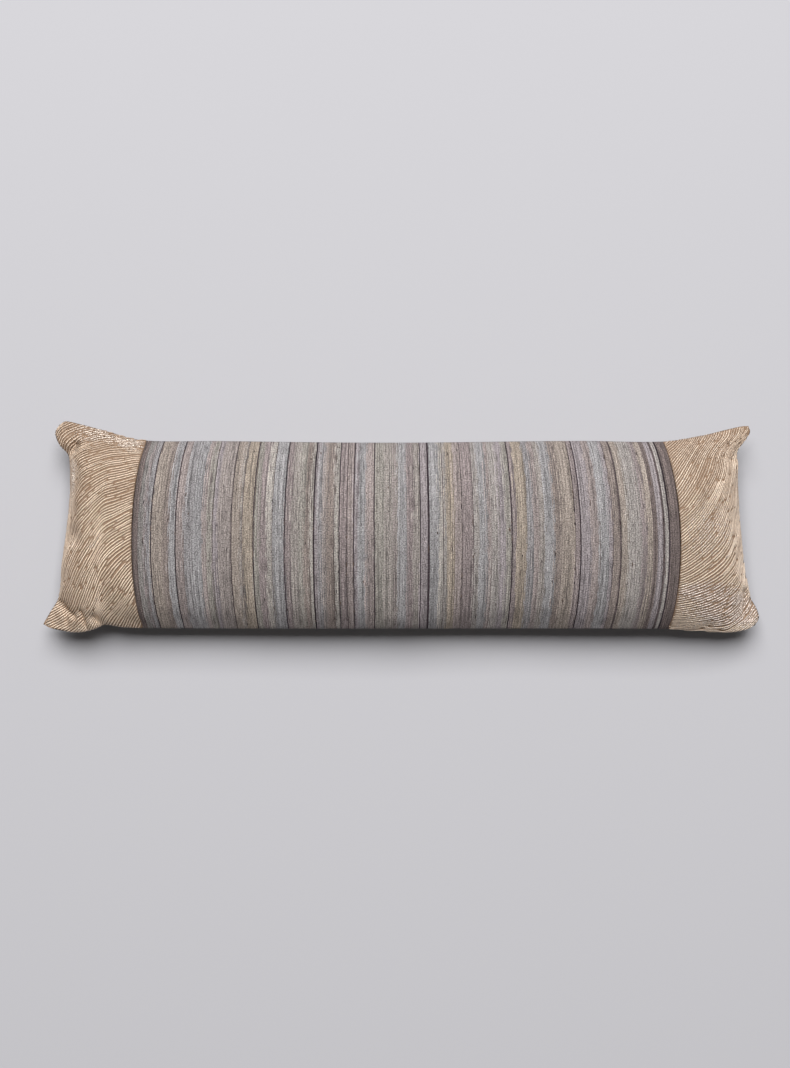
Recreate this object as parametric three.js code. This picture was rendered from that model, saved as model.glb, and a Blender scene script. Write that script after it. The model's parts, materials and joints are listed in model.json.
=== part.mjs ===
// A long lumbar cushion, lying on its back. The front is pieced from a striped middle band and two corded
// end panels, and the plain back cloth with its filling makes one filled solid. Millimetres, +Z up: X runs
// along the cushion, Y across its face towards the edge that is uppermost when it is stood up, and the
// origin is on the floor under the middle.
import * as THREE from "three";
import { mergeVertices } from "three/addons/utils/BufferGeometryUtils.js";

// The cut cloth, from seam to seam.
const CUT_LENGTH = 1219;
const CUT_HEIGHT = 356;
const HALF_CUT = CUT_LENGTH / 2;
const HALF_CUT_HEIGHT = CUT_HEIGHT / 2;

// The two seams between the band and the end panels. The filling bows each one outwards at the middle of
// the face, and a tilt moves its upper end one way and its lower end the other.
const LEFT_SEAM = { cut: -445, bow: -12.5, tilt: -7.8 };
const RIGHT_SEAM = { cut: 458, bow: 15, tilt: 0 };
const BOW_REACH_INWARDS = 125;
const BOW_REACH_OUTWARDS = 80;

// The filled cushion, in plan and in height.
const HALF_LENGTH = 600;
const HALF_HEIGHT = 176;
const SEAM_LEVEL = 58;
const FRONT_CROWN = 68;
const BACK_CROWN = 66;
const LONG_EDGE_ROUNDNESS = 0.55;
const END_WALL_REACH = 16;
const END_SLOPE_REACH = 110;
const END_SLOPE_START = 120;
const EAR_FLATTENING = 0.55;
const EAR_FLAT_REACH = 48;
const SEAM_WAVE = 2.5;
const SEAM_WAVES = 1.25;
const SIDE_REACH = 75;

// The cloth of the front panels, and the gap that parts each piece from its neighbours.
const CLOTH = 2;
const GAP = 0.3;

// How finely the cloth is divided: columns in each panel, rows across the face, and how strongly the
// columns crowd towards the cushion's two ends.
const END_COLUMNS = 21;
const BAND_COLUMNS = 34;
const ROWS = 26;
const END_CROWDING = 1.7;

// The perimeter seam in plan. The long edges are heights over x, and the two ends are x over heights.
const TOP_EDGE = [
  { x: -572, y: 172 },
  { x: -560, y: 176 },
  { x: -535, y: 171 },
  { x: -485, y: 158.5 },
  { x: -423, y: 144 },
  { x: -300, y: 142.5 },
  { x: 0, y: 140 },
  { x: 300, y: 143 },
  { x: 440, y: 142 },
  { x: 500, y: 151 },
  { x: 550, y: 163 },
  { x: 582, y: 170 },
];
const BOTTOM_EDGE = [
  { x: -600, y: -166 },
  { x: -575, y: -172.5 },
  { x: -543, y: -176 },
  { x: -515, y: -171 },
  { x: -497, y: -164 },
  { x: -470, y: -168 },
  { x: -420, y: -170 },
  { x: 0, y: -170.5 },
  { x: 448, y: -171 },
  { x: 500, y: -174 },
  { x: 558, y: -176 },
  { x: 596, y: -168 },
];
const LEFT_END = [
  { y: -166, x: -600 },
  { y: -142, x: -585 },
  { y: -118, x: -571 },
  { y: -60, x: -564 },
  { y: 30, x: -553 },
  { y: 96, x: -551 },
  { y: 120, x: -555 },
  { y: 138, x: -570 },
  { y: 156, x: -576 },
  { y: 172, x: -572 },
];
const RIGHT_END = [
  { y: -168, x: 596 },
  { y: -152, x: 600 },
  { y: -136, x: 595 },
  { y: -118, x: 585 },
  { y: -60, x: 573 },
  { y: 30, x: 564 },
  { y: 104, x: 561 },
  { y: 126, x: 562 },
  { y: 142, x: 573 },
  { y: 158, x: 583 },
  { y: 170, x: 582 },
];

// The folds at the four ears and the notch in the lower edge. Depth is the share of the local height taken
// away.
const FOLDS = [
  { name: "top left neck", fromX: -562, fromY: 106, toX: -538, toY: 142, depth: 0.42, width: 15 },
  { name: "bottom left neck", fromX: -580, fromY: -120, toX: -538, toY: -150, depth: 0.45, width: 15 },
  { name: "bottom left notch", fromX: -510, fromY: -142, toX: -497, toY: -166, depth: 0.4, width: 14 },
  { name: "top right neck", fromX: 568, fromY: 130, toX: 549, toY: 108, depth: 0.38, width: 14 },
  { name: "bottom right neck", fromX: 574, fromY: -112, toX: 570, toY: -148, depth: 0.32, width: 13 },
];

// How far each ear's tip lifts above the seam's level, or droops below it.
const EARS = [
  { name: "top left", endX: -1, endY: 1, lift: 5 },
  { name: "bottom left", endX: -1, endY: -1, lift: -8 },
  { name: "top right", endX: 1, endY: 1, lift: 4 },
  { name: "bottom right", endX: 1, endY: -1, lift: -6 },
];
const EAR_REACH = 70;

// A smooth curve through a table's rows, as a cubic Hermite spline whose slopes are those of its neighbours.
function curveThrough(rows, along, value) {
  const slopeAt = (i) => {
    const before = rows[Math.max(i - 1, 0)];
    const after = rows[Math.min(i + 1, rows.length - 1)];
    return (after[value] - before[value]) / (after[along] - before[along]);
  };
  return (at) => {
    let i = 0;
    while (i < rows.length - 2 && rows[i + 1][along] < at) i += 1;
    const [a, b] = [rows[i], rows[i + 1]];
    const span = b[along] - a[along];
    const u = THREE.MathUtils.clamp((at - a[along]) / span, 0, 1);
    const rise = u * u * (3 - 2 * u);
    const leave = u * (1 - u) * (1 - u) * span * slopeAt(i);
    const arrive = u * u * (u - 1) * span * slopeAt(i + 1);
    return a[value] + (b[value] - a[value]) * rise + leave + arrive;
  };
}

const topEdge = curveThrough(TOP_EDGE, "x", "y");
const bottomEdge = curveThrough(BOTTOM_EDGE, "x", "y");
const leftEnd = curveThrough(LEFT_END, "y", "x");
const rightEnd = curveThrough(RIGHT_END, "y", "x");

// A point of the perimeter seam's outline, or of the ruled face between its long edges. s runs from -1 at the
// left end to 1 at the right one, and t from -1 at the lower edge to 1 at the upper one.
function planPoint(s, t) {
  const [alongS, alongT] = [(s + 1) / 2, (t + 1) / 2];
  const [first, last] = [0, TOP_EDGE.length - 1];
  const topX = THREE.MathUtils.lerp(TOP_EDGE[first].x, TOP_EDGE[last].x, alongS);
  const bottomX = THREE.MathUtils.lerp(BOTTOM_EDGE[first].x, BOTTOM_EDGE[last].x, alongS);
  const ruledX = THREE.MathUtils.lerp(bottomX, topX, alongT);
  const y = THREE.MathUtils.lerp(bottomEdge(bottomX), topEdge(topX), alongT);

  const endY = (tables) => THREE.MathUtils.lerp(tables[0].y, tables[tables.length - 1].y, alongT);
  const straightLeft = THREE.MathUtils.lerp(BOTTOM_EDGE[first].x, TOP_EDGE[first].x, alongT);
  const straightRight = THREE.MathUtils.lerp(BOTTOM_EDGE[last].x, TOP_EDGE[last].x, alongT);
  const [fromLeft, fromRight] = [(1 + s) * HALF_CUT, (1 - s) * HALF_CUT];
  const pullLeft = (leftEnd(endY(LEFT_END)) - straightLeft) * Math.exp(-((fromLeft / SIDE_REACH) ** 2));
  const pullRight = (rightEnd(endY(RIGHT_END)) - straightRight) * Math.exp(-((fromRight / SIDE_REACH) ** 2));

  return new THREE.Vector2(ruledX + pullLeft + pullRight + seamShift(s, t), y);
}

// How far the cloth near the two panel seams lies to the side of its straight place.
function seamShift(s, t) {
  let shift = 0;
  for (const seam of [LEFT_SEAM, RIGHT_SEAM]) {
    const away = s * HALF_CUT - seam.cut;
    const reach = away * Math.sign(seam.cut) > 0 ? BOW_REACH_OUTWARDS : BOW_REACH_INWARDS;
    shift += (seam.bow * (1 - t * t) + seam.tilt * t) * Math.exp(-((away / reach) ** 2));
  }
  return shift;
}

// The share of the full crown at s and t: zero on the seam, steep beside it, nearly level in the middle,
// and thin again towards each ear. An end rises as a steep wall first and then as a long slope.
function crownShare(s, t) {
  const fromEnd = (1 - Math.abs(s)) * HALF_CUT;
  const fromLongEdge = (1 - Math.abs(t)) * HALF_CUT_HEIGHT;
  const wall = Math.sqrt(1 - Math.exp(-fromEnd / END_WALL_REACH));
  const slope = 1 - Math.exp(-(fromEnd + END_SLOPE_START) / END_SLOPE_REACH);
  const across = (1 - t * t) ** LONG_EDGE_ROUNDNESS;
  const earDistance = Math.hypot(fromEnd, fromLongEdge);
  return wall * slope * across * (1 - EAR_FLATTENING * Math.exp(-((earDistance / EAR_FLAT_REACH) ** 2)));
}

// The share of the height that the folds leave at a point of the plan.
function foldShare(point) {
  let share = 1;
  for (const fold of FOLDS) {
    const line = new THREE.Line3(
      new THREE.Vector3(fold.fromX, fold.fromY, 0),
      new THREE.Vector3(fold.toX, fold.toY, 0),
    );
    const here = new THREE.Vector3(point.x, point.y, 0);
    const away = line.closestPointToPoint(here, true, new THREE.Vector3()).distanceTo(here);
    share *= 1 - fold.depth * Math.exp(-((away / fold.width) ** 2));
  }
  return share;
}

// The height of the perimeter seam, and of the middle surface inside it, above the floor. It waves a
// little, and the upper edge goes down where the lower one goes up.
function seamLevel(s, point) {
  const alongSeam = Math.sin(s * SEAM_WAVES * 2 * Math.PI);
  const acrossFace = Math.sin((point.y / HALF_HEIGHT) * (Math.PI / 2));
  let level = SEAM_LEVEL + SEAM_WAVE * alongSeam * acrossFace;
  for (const ear of EARS) {
    const away = Math.hypot(point.x - ear.endX * HALF_LENGTH, point.y - ear.endY * HALF_HEIGHT);
    level += ear.lift * Math.exp(-((away / EAR_REACH) ** 2));
  }
  return level;
}

// A point of a surface above the seam. An inset draws it in from the outline, and the folds stay in place.
function raisedPoint(s, t, inset, crown) {
  const point = planPoint(s * (1 - inset / HALF_CUT), t * (1 - inset / HALF_CUT_HEIGHT));
  return new THREE.Vector3(point.x, point.y, seamLevel(s, point) + crown * crownShare(s, t) * foldShare(point));
}

// The outer and the inner face of the front's cloth.
const outerFront = (s, t) => raisedPoint(s, t, 0, FRONT_CROWN);
const innerFront = (s, t) => raisedPoint(s, t, CLOTH, FRONT_CROWN - CLOTH);

// The underside, pressed flat where it reaches the floor. Its rim lies a gap below the front panels.
function underside(s, t) {
  const point = raisedPoint(s, t, 0, -BACK_CROWN);
  point.z = Math.max(point.z - GAP, 0);
  return point;
}

// Places between two cuts, closer together near the end of the cushion that crowdedEnd names.
function columnsBetween(from, to, count, crowdedEnd) {
  return Array.from({ length: count + 1 }, (_, i) => {
    const u = i / count;
    if (crowdedEnd === "left") return THREE.MathUtils.lerp(from, to, u ** END_CROWDING) / HALF_CUT;
    if (crowdedEnd === "right") return THREE.MathUtils.lerp(to, from, (1 - u) ** END_CROWDING) / HALF_CUT;
    return THREE.MathUtils.lerp(from, to, u) / HALF_CUT;
  });
}

// Rows across the face, closer together near both long edges.
const ROW_PLACES = Array.from({ length: ROWS + 1 }, (_, j) => Math.sin((j / ROWS - 0.5) * Math.PI));

// The triangles of a grid of points, counted column by column, and the points of its rim in turn.
function gridFaces(columnCount) {
  const rowCount = ROW_PLACES.length;
  const at = (i, j) => i * rowCount + j;
  const faces = [];
  for (let i = 0; i < columnCount - 1; i += 1) {
    for (let j = 0; j < rowCount - 1; j += 1) {
      faces.push([at(i, j), at(i + 1, j), at(i + 1, j + 1)], [at(i, j), at(i + 1, j + 1), at(i, j + 1)]);
    }
  }
  const rim = [];
  for (let i = 0; i < columnCount - 1; i += 1) rim.push(at(i, 0));
  for (let j = 0; j < rowCount - 1; j += 1) rim.push(at(columnCount - 1, j));
  for (let i = columnCount - 1; i > 0; i -= 1) rim.push(at(i, rowCount - 1));
  for (let j = rowCount - 1; j > 0; j -= 1) rim.push(at(0, j));
  return { faces, rim };
}

// The points of a surface at every column and row.
function gridPoints(surface, columns) {
  return columns.flatMap((s) => ROW_PLACES.map((t) => surface(s, t)));
}

function geometryOf(points, faces) {
  const geometry = new THREE.BufferGeometry();
  geometry.setAttribute("position", new THREE.Float32BufferAttribute(points.flatMap((p) => p.toArray()), 3));
  geometry.setIndex(faces.flat());
  return geometry;
}

// The same points a gap further in along the surface's own normals, with the rim a gap lower as well.
function gapInside(points, columnCount) {
  const { faces, rim } = gridFaces(columnCount);
  const sheet = geometryOf(points, faces);
  sheet.computeVertexNormals();
  const normal = new THREE.Vector3();
  const moved = points.map((point, k) => {
    normal.fromBufferAttribute(sheet.getAttribute("normal"), k);
    return point.clone().addScaledVector(normal, -GAP);
  });
  for (const k of rim) moved[k].z -= GAP;
  return moved;
}

// A closed solid between an upper and a lower grid of points with the same columns, walled round its rim.
function solidBetween(upper, lower, columnCount) {
  const { faces, rim } = gridFaces(columnCount);
  const below = (k) => k + upper.length;
  const walls = rim.flatMap((a, k) => {
    const b = rim[(k + 1) % rim.length];
    return [[below(a), below(b), b], [below(a), b, a]];
  });
  const floor = faces.map(([a, b, c]) => [below(a), below(c), below(b)]);
  return mergeVertices(geometryOf([...upper, ...lower], [...faces, ...floor, ...walls]), 1e-4);
}

// One panel of the front: a sheet of cloth over the filling.
function frontPanel(columns) {
  return solidBetween(gridPoints(outerFront, columns), gridPoints(innerFront, columns), columns.length);
}

// The back cloth and the filling as one solid, with a ledge at the seam under the front panels' edges.
function filledBack(columns) {
  const front = gapInside(gridPoints(innerFront, columns), columns.length);
  return solidBetween(front, gridPoints(underside, columns), columns.length);
}

function cloth(color, roughness, metalness) {
  return new THREE.MeshStandardMaterial({ color, roughness, metalness });
}

const STRIPED_CLOTH = cloth(0x8e8683, 0.9, 0);
const CORDED_CLOTH = cloth(0xbba18b, 0.55, 0.15);
const BACK_CLOTH = cloth(0x8f8880, 0.95, 0);

function sewnPiece(name, geometry, material) {
  const mesh = new THREE.Mesh(geometry, material);
  mesh.name = name;
  return mesh;
}

function longCushion() {
  const halfGap = GAP / 2;
  const leftColumns = columnsBetween(-HALF_CUT, LEFT_SEAM.cut - halfGap, END_COLUMNS, "left");
  const bandColumns = columnsBetween(LEFT_SEAM.cut + halfGap, RIGHT_SEAM.cut - halfGap, BAND_COLUMNS, "none");
  const rightColumns = columnsBetween(RIGHT_SEAM.cut + halfGap, HALF_CUT, END_COLUMNS, "right");
  const allColumns = [...leftColumns.slice(0, -1), ...bandColumns, ...rightColumns.slice(1)];

  const group = new THREE.Group();
  group.add(sewnPiece("filled_back", filledBack(allColumns), BACK_CLOTH));
  group.add(sewnPiece("centre_band", frontPanel(bandColumns), STRIPED_CLOTH));
  group.add(sewnPiece("left_end_panel", frontPanel(leftColumns), CORDED_CLOTH));
  group.add(sewnPiece("right_end_panel", frontPanel(rightColumns), CORDED_CLOTH));
  return group;
}

export default longCushion();
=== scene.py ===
"""A long lumbar cushion that lies on its back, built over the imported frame.

The front is pieced from a striped slub band and two end panels covered with couched metallic cord. The
plain back cloth and the filling are one padded piece.

Lengths are millimetres until a mesh is made, and metres in the meshes. X runs along the cushion, Y
across its face and Z up. A place on the cover is (s, t), each from -1 to 1 over the flat cut, s along
it and t across it. A place on one panel's cloth is (u, v) in millimetres of cloth, u along the cushion
and v across the face.
"""

from __future__ import annotations

import json
import logging
from dataclasses import dataclass
from enum import Enum
from typing import ClassVar

import bpy
import numpy as np
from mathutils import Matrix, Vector

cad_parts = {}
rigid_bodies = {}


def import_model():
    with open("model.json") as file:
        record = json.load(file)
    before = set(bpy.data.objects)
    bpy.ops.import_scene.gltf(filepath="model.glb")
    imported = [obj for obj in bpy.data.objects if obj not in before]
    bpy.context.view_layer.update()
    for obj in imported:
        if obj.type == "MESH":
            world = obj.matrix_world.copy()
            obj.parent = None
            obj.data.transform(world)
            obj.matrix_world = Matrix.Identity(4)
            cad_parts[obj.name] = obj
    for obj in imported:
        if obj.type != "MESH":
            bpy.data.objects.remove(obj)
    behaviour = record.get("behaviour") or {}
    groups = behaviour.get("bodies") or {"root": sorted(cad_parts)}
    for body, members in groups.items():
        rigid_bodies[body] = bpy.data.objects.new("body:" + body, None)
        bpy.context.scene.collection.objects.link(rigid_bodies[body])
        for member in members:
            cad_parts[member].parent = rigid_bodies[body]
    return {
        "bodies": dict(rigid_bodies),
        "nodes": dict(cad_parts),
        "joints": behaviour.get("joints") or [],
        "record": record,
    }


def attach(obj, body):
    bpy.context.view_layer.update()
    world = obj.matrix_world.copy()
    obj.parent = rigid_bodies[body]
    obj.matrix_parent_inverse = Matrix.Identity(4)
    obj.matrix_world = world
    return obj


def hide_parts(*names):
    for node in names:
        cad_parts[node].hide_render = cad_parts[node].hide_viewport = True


log = logging.getLogger("long_cushion")

MM = 0.001
BAND_START = -0.4398  # metres: where the middle of the left seam lies along X
STRIP_TURNS = 560.0  # turns of the metal strip in a metre of cord


def curve_through(table: np.ndarray, at: np.ndarray) -> np.ndarray:
    """A smooth curve through a table's rows, in cubic pieces with slopes from the neighbouring rows.

    Args:
        table: rows of (place, value), with places that rise.
        at: the places to read.

    Returns:
        The curve's values at those places, held level past both ends.
    """
    places, values = table[:, 0], table[:, 1]
    slopes = np.gradient(values, places)
    slopes[1:-1] = (values[2:] - values[:-2]) / (places[2:] - places[:-2])
    i = np.clip(np.searchsorted(places, at, side="right") - 1, 0, len(places) - 2)
    span = places[i + 1] - places[i]
    u = np.clip((at - places[i]) / span, 0, 1)
    rise = u * u * (3 - 2 * u)
    leave = u * (1 - u) ** 2 * span * slopes[i]
    arrive = u * u * (u - 1) * span * slopes[i + 1]
    return values[i] + (values[i + 1] - values[i]) * rise + leave + arrive


def blend(low: np.ndarray | float, high: np.ndarray | float, share: np.ndarray) -> np.ndarray:
    """The straight mix of two values: low where share is 0 and high where it is 1."""
    return low + (high - low) * share


def bell(distance: np.ndarray, reach: float) -> np.ndarray:
    """A bell curve, exp(-(distance / reach) squared)."""
    return np.exp(-((distance / reach) ** 2))


class SoftNoise:
    """Seeded value noise: random heights on a lattice of unit cells, blended smoothly in between."""

    def __init__(self, seed: int, size: int = 128) -> None:
        """Draws the lattice's heights."""
        self._heights = np.random.default_rng(seed).uniform(-1, 1, (size, size))

    def at(self, x: np.ndarray, y: np.ndarray | float = 0.0) -> np.ndarray:
        """The noise at places.

        Args:
            x: places along the first axis, in cells.
            y: places along the second.

        Returns:
            The heights, from -1 to 1.
        """
        x, y = np.broadcast_arrays(x, y)
        i, j = np.floor(x).astype(int), np.floor(y).astype(int)
        across, up = x - i, y - j
        across, up = across * across * (3 - 2 * across), up * up * (3 - 2 * up)
        size = len(self._heights)
        i, j, i_next, j_next = i % size, j % size, (i + 1) % size, (j + 1) % size
        low = blend(self._heights[i, j], self._heights[i_next, j], across)
        high = blend(self._heights[i, j_next], self._heights[i_next, j_next], across)
        return blend(low, high, up)


@dataclass(frozen=True)
class Fold:
    """A soft crease along a short line of the plan, which takes a share of the local height away."""

    name: str
    start: tuple[float, float]
    end: tuple[float, float]
    depth: float
    width: float

    def share(self, x: np.ndarray, y: np.ndarray) -> np.ndarray:
        """What the crease leaves of the height.

        It is one less the depth times a bell of the distance to the crease's line.

        Args:
            x: X of the places.
            y: their Y.

        Returns:
            The share that is left, from 0 to 1.
        """
        start, line = np.array(self.start), np.subtract(self.end, self.start)
        along = ((x - start[0]) * line[0] + (y - start[1]) * line[1]) / (line @ line)
        along = np.clip(along, 0, 1)
        away = np.hypot(x - start[0] - along * line[0], y - start[1] - along * line[1])
        return 1 - self.depth * bell(away, self.width)


@dataclass(frozen=True)
class PanelSeam:
    """A seam between the band and an end panel: its place in the cut, its outward bow and its tilt."""

    cut: float
    bow: float
    tilt: float


@dataclass(frozen=True)
class Ripple:
    """A soft fold of the band that runs down from the upper edge, beside a panel seam."""

    cut: float
    height: float
    width: float
    reach: float


@dataclass(frozen=True)
class CoverForm:
    """The cover's outline and its smooth filled shape."""

    cut_length: float = 1219.0
    cut_height: float = 356.0
    half_length: float = 600.0
    half_height: float = 176.0
    seam_level: float = 58.0
    front_crown: float = 68.0
    back_crown: float = 66.0
    roundness: float = 0.55
    end_wall: float = 23.0
    end_slope: float = 110.0
    end_slope_start: float = 120.0
    ear_flattening: float = 0.55
    ear_flat_reach: float = 48.0
    seam_wave: float = 2.5
    seam_waves: float = 1.25
    side_reach: float = 75.0
    bow_inwards: float = 125.0
    bow_outwards: float = 80.0
    knife_edge: float = 7.0
    left_seam: PanelSeam = PanelSeam(cut=-445.0, bow=-12.5, tilt=-7.8)
    right_seam: PanelSeam = PanelSeam(cut=458.0, bow=15.0, tilt=0.0)
    top_edge: tuple[tuple[float, float], ...] = (
        (-572, 172), (-560, 176), (-535, 171), (-485, 158.5), (-423, 144), (-300, 142.5),
        (0, 140), (300, 143), (440, 142), (500, 151), (550, 163), (582, 170),
    )  # fmt: skip
    bottom_edge: tuple[tuple[float, float], ...] = (
        (-600, -166), (-575, -172.5), (-543, -176), (-515, -171), (-497, -164), (-470, -168),
        (-420, -170), (0, -170.5), (448, -171), (500, -174), (558, -176), (596, -168),
    )  # fmt: skip
    left_end: tuple[tuple[float, float], ...] = (
        (-166, -600), (-142, -585), (-118, -571), (-60, -564), (30, -553),
        (96, -551), (120, -555), (138, -570), (156, -576), (172, -572),
    )  # fmt: skip
    right_end: tuple[tuple[float, float], ...] = (
        (-168, 596), (-152, 600), (-136, 595), (-118, 585), (-60, 573), (30, 564),
        (104, 561), (126, 562), (142, 573), (158, 583), (170, 582),
    )  # fmt: skip
    corner_pull: float = 2.5
    corner_reach: float = 10.0
    ear_reach: float = 70.0
    ears: tuple[tuple[float, float, float], ...] = ((-1, 1, 5), (-1, -1, -8), (1, 1, 4), (1, -1, -6))
    folds: tuple[Fold, ...] = (
        Fold("top left neck", (-562, 108), (-540, 136), 0.55, 7),
        Fold("bottom left neck", (-580, -120), (-544, -148), 0.55, 7),
        Fold("bottom left ear crease", (-562, -128), (-556, -158), 0.35, 5),
        Fold("bottom left ear pleat", (-529, -140), (-523, -172), 0.45, 5),
        Fold("bottom left notch", (-508, -150), (-496, -168), 0.5, 7),
        Fold("top right neck", (570, 134), (554, 110), 0.5, 6),
        Fold("bottom right neck", (572, -108), (574, -146), 0.45, 5),
        Fold("bottom right ear pleat", (587, -122), (586, -154), 0.4, 4.5),
    )

    def plan(self, s: np.ndarray, t: np.ndarray) -> tuple[np.ndarray, np.ndarray]:
        """X and Y of a place on the cover.

        The face is ruled between the two long edges, and each end's outline pulls on the cloth near it
        with a bell of the distance. The two panel seams bow and tilt.

        Args:
            s: places along the cover.
            t: places across it.

        Returns:
            X and Y.
        """
        edges = (self.top_edge, self.bottom_edge, self.left_end, self.right_end)
        top, bottom, left, right = (np.array(edge) for edge in edges)
        along, across = (s + 1) / 2, (t + 1) / 2
        top_x = blend(top[0, 0], top[-1, 0], along)
        bottom_x = blend(bottom[0, 0], bottom[-1, 0], along)
        y = blend(curve_through(bottom, bottom_x), curve_through(top, top_x), across)
        x = blend(bottom_x, top_x, across)
        half_cut = self.cut_length / 2
        for end, side, corner in ((left, -1, 0), (right, 1, -1)):
            straight = blend(bottom[corner, 0], top[corner, 0], across)
            outline = curve_through(end, blend(end[0, 0], end[-1, 0], across))
            x = x + (outline - straight) * bell((1 - side * s) * half_cut, self.side_reach)
        for seam in (self.left_seam, self.right_seam):
            away = s * half_cut - seam.cut
            reach = np.where(away * np.sign(seam.cut) > 0, self.bow_outwards, self.bow_inwards)
            x = x + (seam.bow * (1 - t * t) + seam.tilt * t) * np.exp(-((away / reach) ** 2))
        corner = np.hypot((1 - np.abs(s)) * half_cut, (1 - np.abs(t)) * self.cut_height / 2)
        pull = self.corner_pull * bell(corner, self.corner_reach)
        return x - np.sign(s) * pull, y - np.sign(t) * pull

    def crown_share(self, s: np.ndarray, t: np.ndarray) -> np.ndarray:
        """The share of the full crown at a place.

        Across the face it is (1 - t squared) to the power roundness. An end rises as a steep wall first
        and then as a long slope, and each ear is thinner by a bell of the distance to its corner.

        Args:
            s: places along the cover.
            t: places across it.

        Returns:
            The share, from 0 on the perimeter seam to 1.
        """
        from_end = (1 - np.abs(s)) * self.cut_length / 2
        from_long_edge = (1 - np.abs(t)) * self.cut_height / 2
        wall = np.sqrt(np.maximum(1 - np.exp(-from_end / self.end_wall), 0))
        slope = 1 - np.exp(-(from_end + self.end_slope_start) / self.end_slope)
        across = np.maximum(1 - t * t, 0) ** self.roundness
        ear = bell(np.hypot(from_end, from_long_edge), self.ear_flat_reach)
        return wall * slope * across * (1 - self.ear_flattening * ear)

    def level(self, s: np.ndarray, x: np.ndarray, y: np.ndarray) -> np.ndarray:
        """Z of the perimeter seam and of the middle surface inside it.

        It is a slight wave, with ears that lift or droop by bells of the distance to their corners.

        Args:
            s: places along the cover.
            x: their X.
            y: their Y.

        Returns:
            Z.
        """
        wave = np.sin(s * self.seam_waves * 2 * np.pi) * np.sin(y / self.half_height * np.pi / 2)
        z = self.seam_level + self.seam_wave * wave
        for end_x, end_y, lift in self.ears:
            away = np.hypot(x - end_x * self.half_length, y - end_y * self.half_height)
            z = z + lift * bell(away, self.ear_reach)
        return z

    def height(self, s: np.ndarray, t: np.ndarray, crown: float) -> np.ndarray:
        """The height of a face over the seam's level.

        h is the crown times its share and the folds' shares. The seam pinches it to
        h * h / (h + knife_edge), and the crown is raised so that the middle keeps its height.

        Args:
            s: places along the cover.
            t: places across it.
            crown: the face's full height.

        Returns:
            The height, without a sign.
        """
        x, y = self.plan(s, t)
        share = self.crown_share(s, t)
        for fold in self.folds:
            share = share * fold.share(x, y)
        h = (crown + self.knife_edge) * share
        return h * h / (h + self.knife_edge + 1e-9)


class Face(Enum):
    """A face of the cover, by the sign of its height over the seam."""

    FRONT = 1
    BACK = -1


def blurred(values: np.ndarray, reach: float) -> np.ndarray:
    """A grid of vectors smoothed along both of its axes.

    Args:
        values: the vectors, on a grid.
        reach: the reach of the smoothing bell, in cells.

    Returns:
        The smoothed grid, its rim carried on past its ends.
    """
    count = int(np.ceil(reach * 3))
    weights = bell(np.arange(-count, count + 1), reach * np.sqrt(2))
    weights /= weights.sum()
    for axis in (0, 1):
        pads = [(count, count) if k == axis else (0, 0) for k in range(values.ndim)]
        padded, length = np.pad(values, pads, mode="edge"), values.shape[axis]
        values = sum(w * padded.take(range(k, k + length), axis=axis) for k, w in enumerate(weights))
    return values


def cubic_weights(share: np.ndarray) -> list[np.ndarray]:
    """The weights of four neighbours in a row, for a place between the middle two.

    They make a cubic through the middle two, with the slopes that all four give.

    Args:
        share: the share of the way from the second neighbour to the third.

    Returns:
        One weight for each neighbour.
    """
    return [
        ((2 - share) * share - 1) * share / 2,
        ((3 * share - 5) * share * share + 2) / 2,
        ((4 - 3 * share) * share + 1) * share / 2,
        (share - 1) * share * share / 2,
    ]


@dataclass(frozen=True)
class Lattice:
    """Vectors at the nodes of a grid, read smoothly in between."""

    along: np.ndarray
    across: np.ndarray
    values: np.ndarray

    def at(self, a: np.ndarray, b: np.ndarray) -> np.ndarray:
        """Reads the lattice with cubic weights along both axes.

        Args:
            a: places along the first axis.
            b: places along the second axis.

        Returns:
            The vectors there.
        """
        sums = 0.0
        columns, column_share = self._cell(self.along, a)
        rows, row_share = self._cell(self.across, b)
        for i, column_weight in enumerate(cubic_weights(column_share)):
            column = np.clip(columns + i - 1, 0, len(self.along) - 1)
            for j, row_weight in enumerate(cubic_weights(row_share)):
                row = np.clip(rows + j - 1, 0, len(self.across) - 1)
                sums = sums + (column_weight * row_weight)[..., None] * self.values[column, row]
        return sums

    @staticmethod
    def _cell(places: np.ndarray, at: np.ndarray) -> tuple[np.ndarray, np.ndarray]:
        """The cell that holds each place.

        Args:
            places: the lattice's places on one axis.
            at: the places to find.

        Returns:
            The cell's number, and the share of the way through it.
        """
        steps = np.interp(at, places, np.arange(len(places)))
        cell = np.clip(np.floor(steps).astype(int), 0, len(places) - 2)
        return cell, steps - cell


def even_places(points: np.ndarray, count: int) -> np.ndarray:
    """Places from 0 to 1 along a line of points that part it into stretches of equal length."""
    length = np.concatenate([[0], np.cumsum(np.linalg.norm(np.diff(points, axis=0), axis=1))])
    return np.interp(np.linspace(0, length[-1], count), length, np.linspace(0, 1, len(points)))


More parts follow.
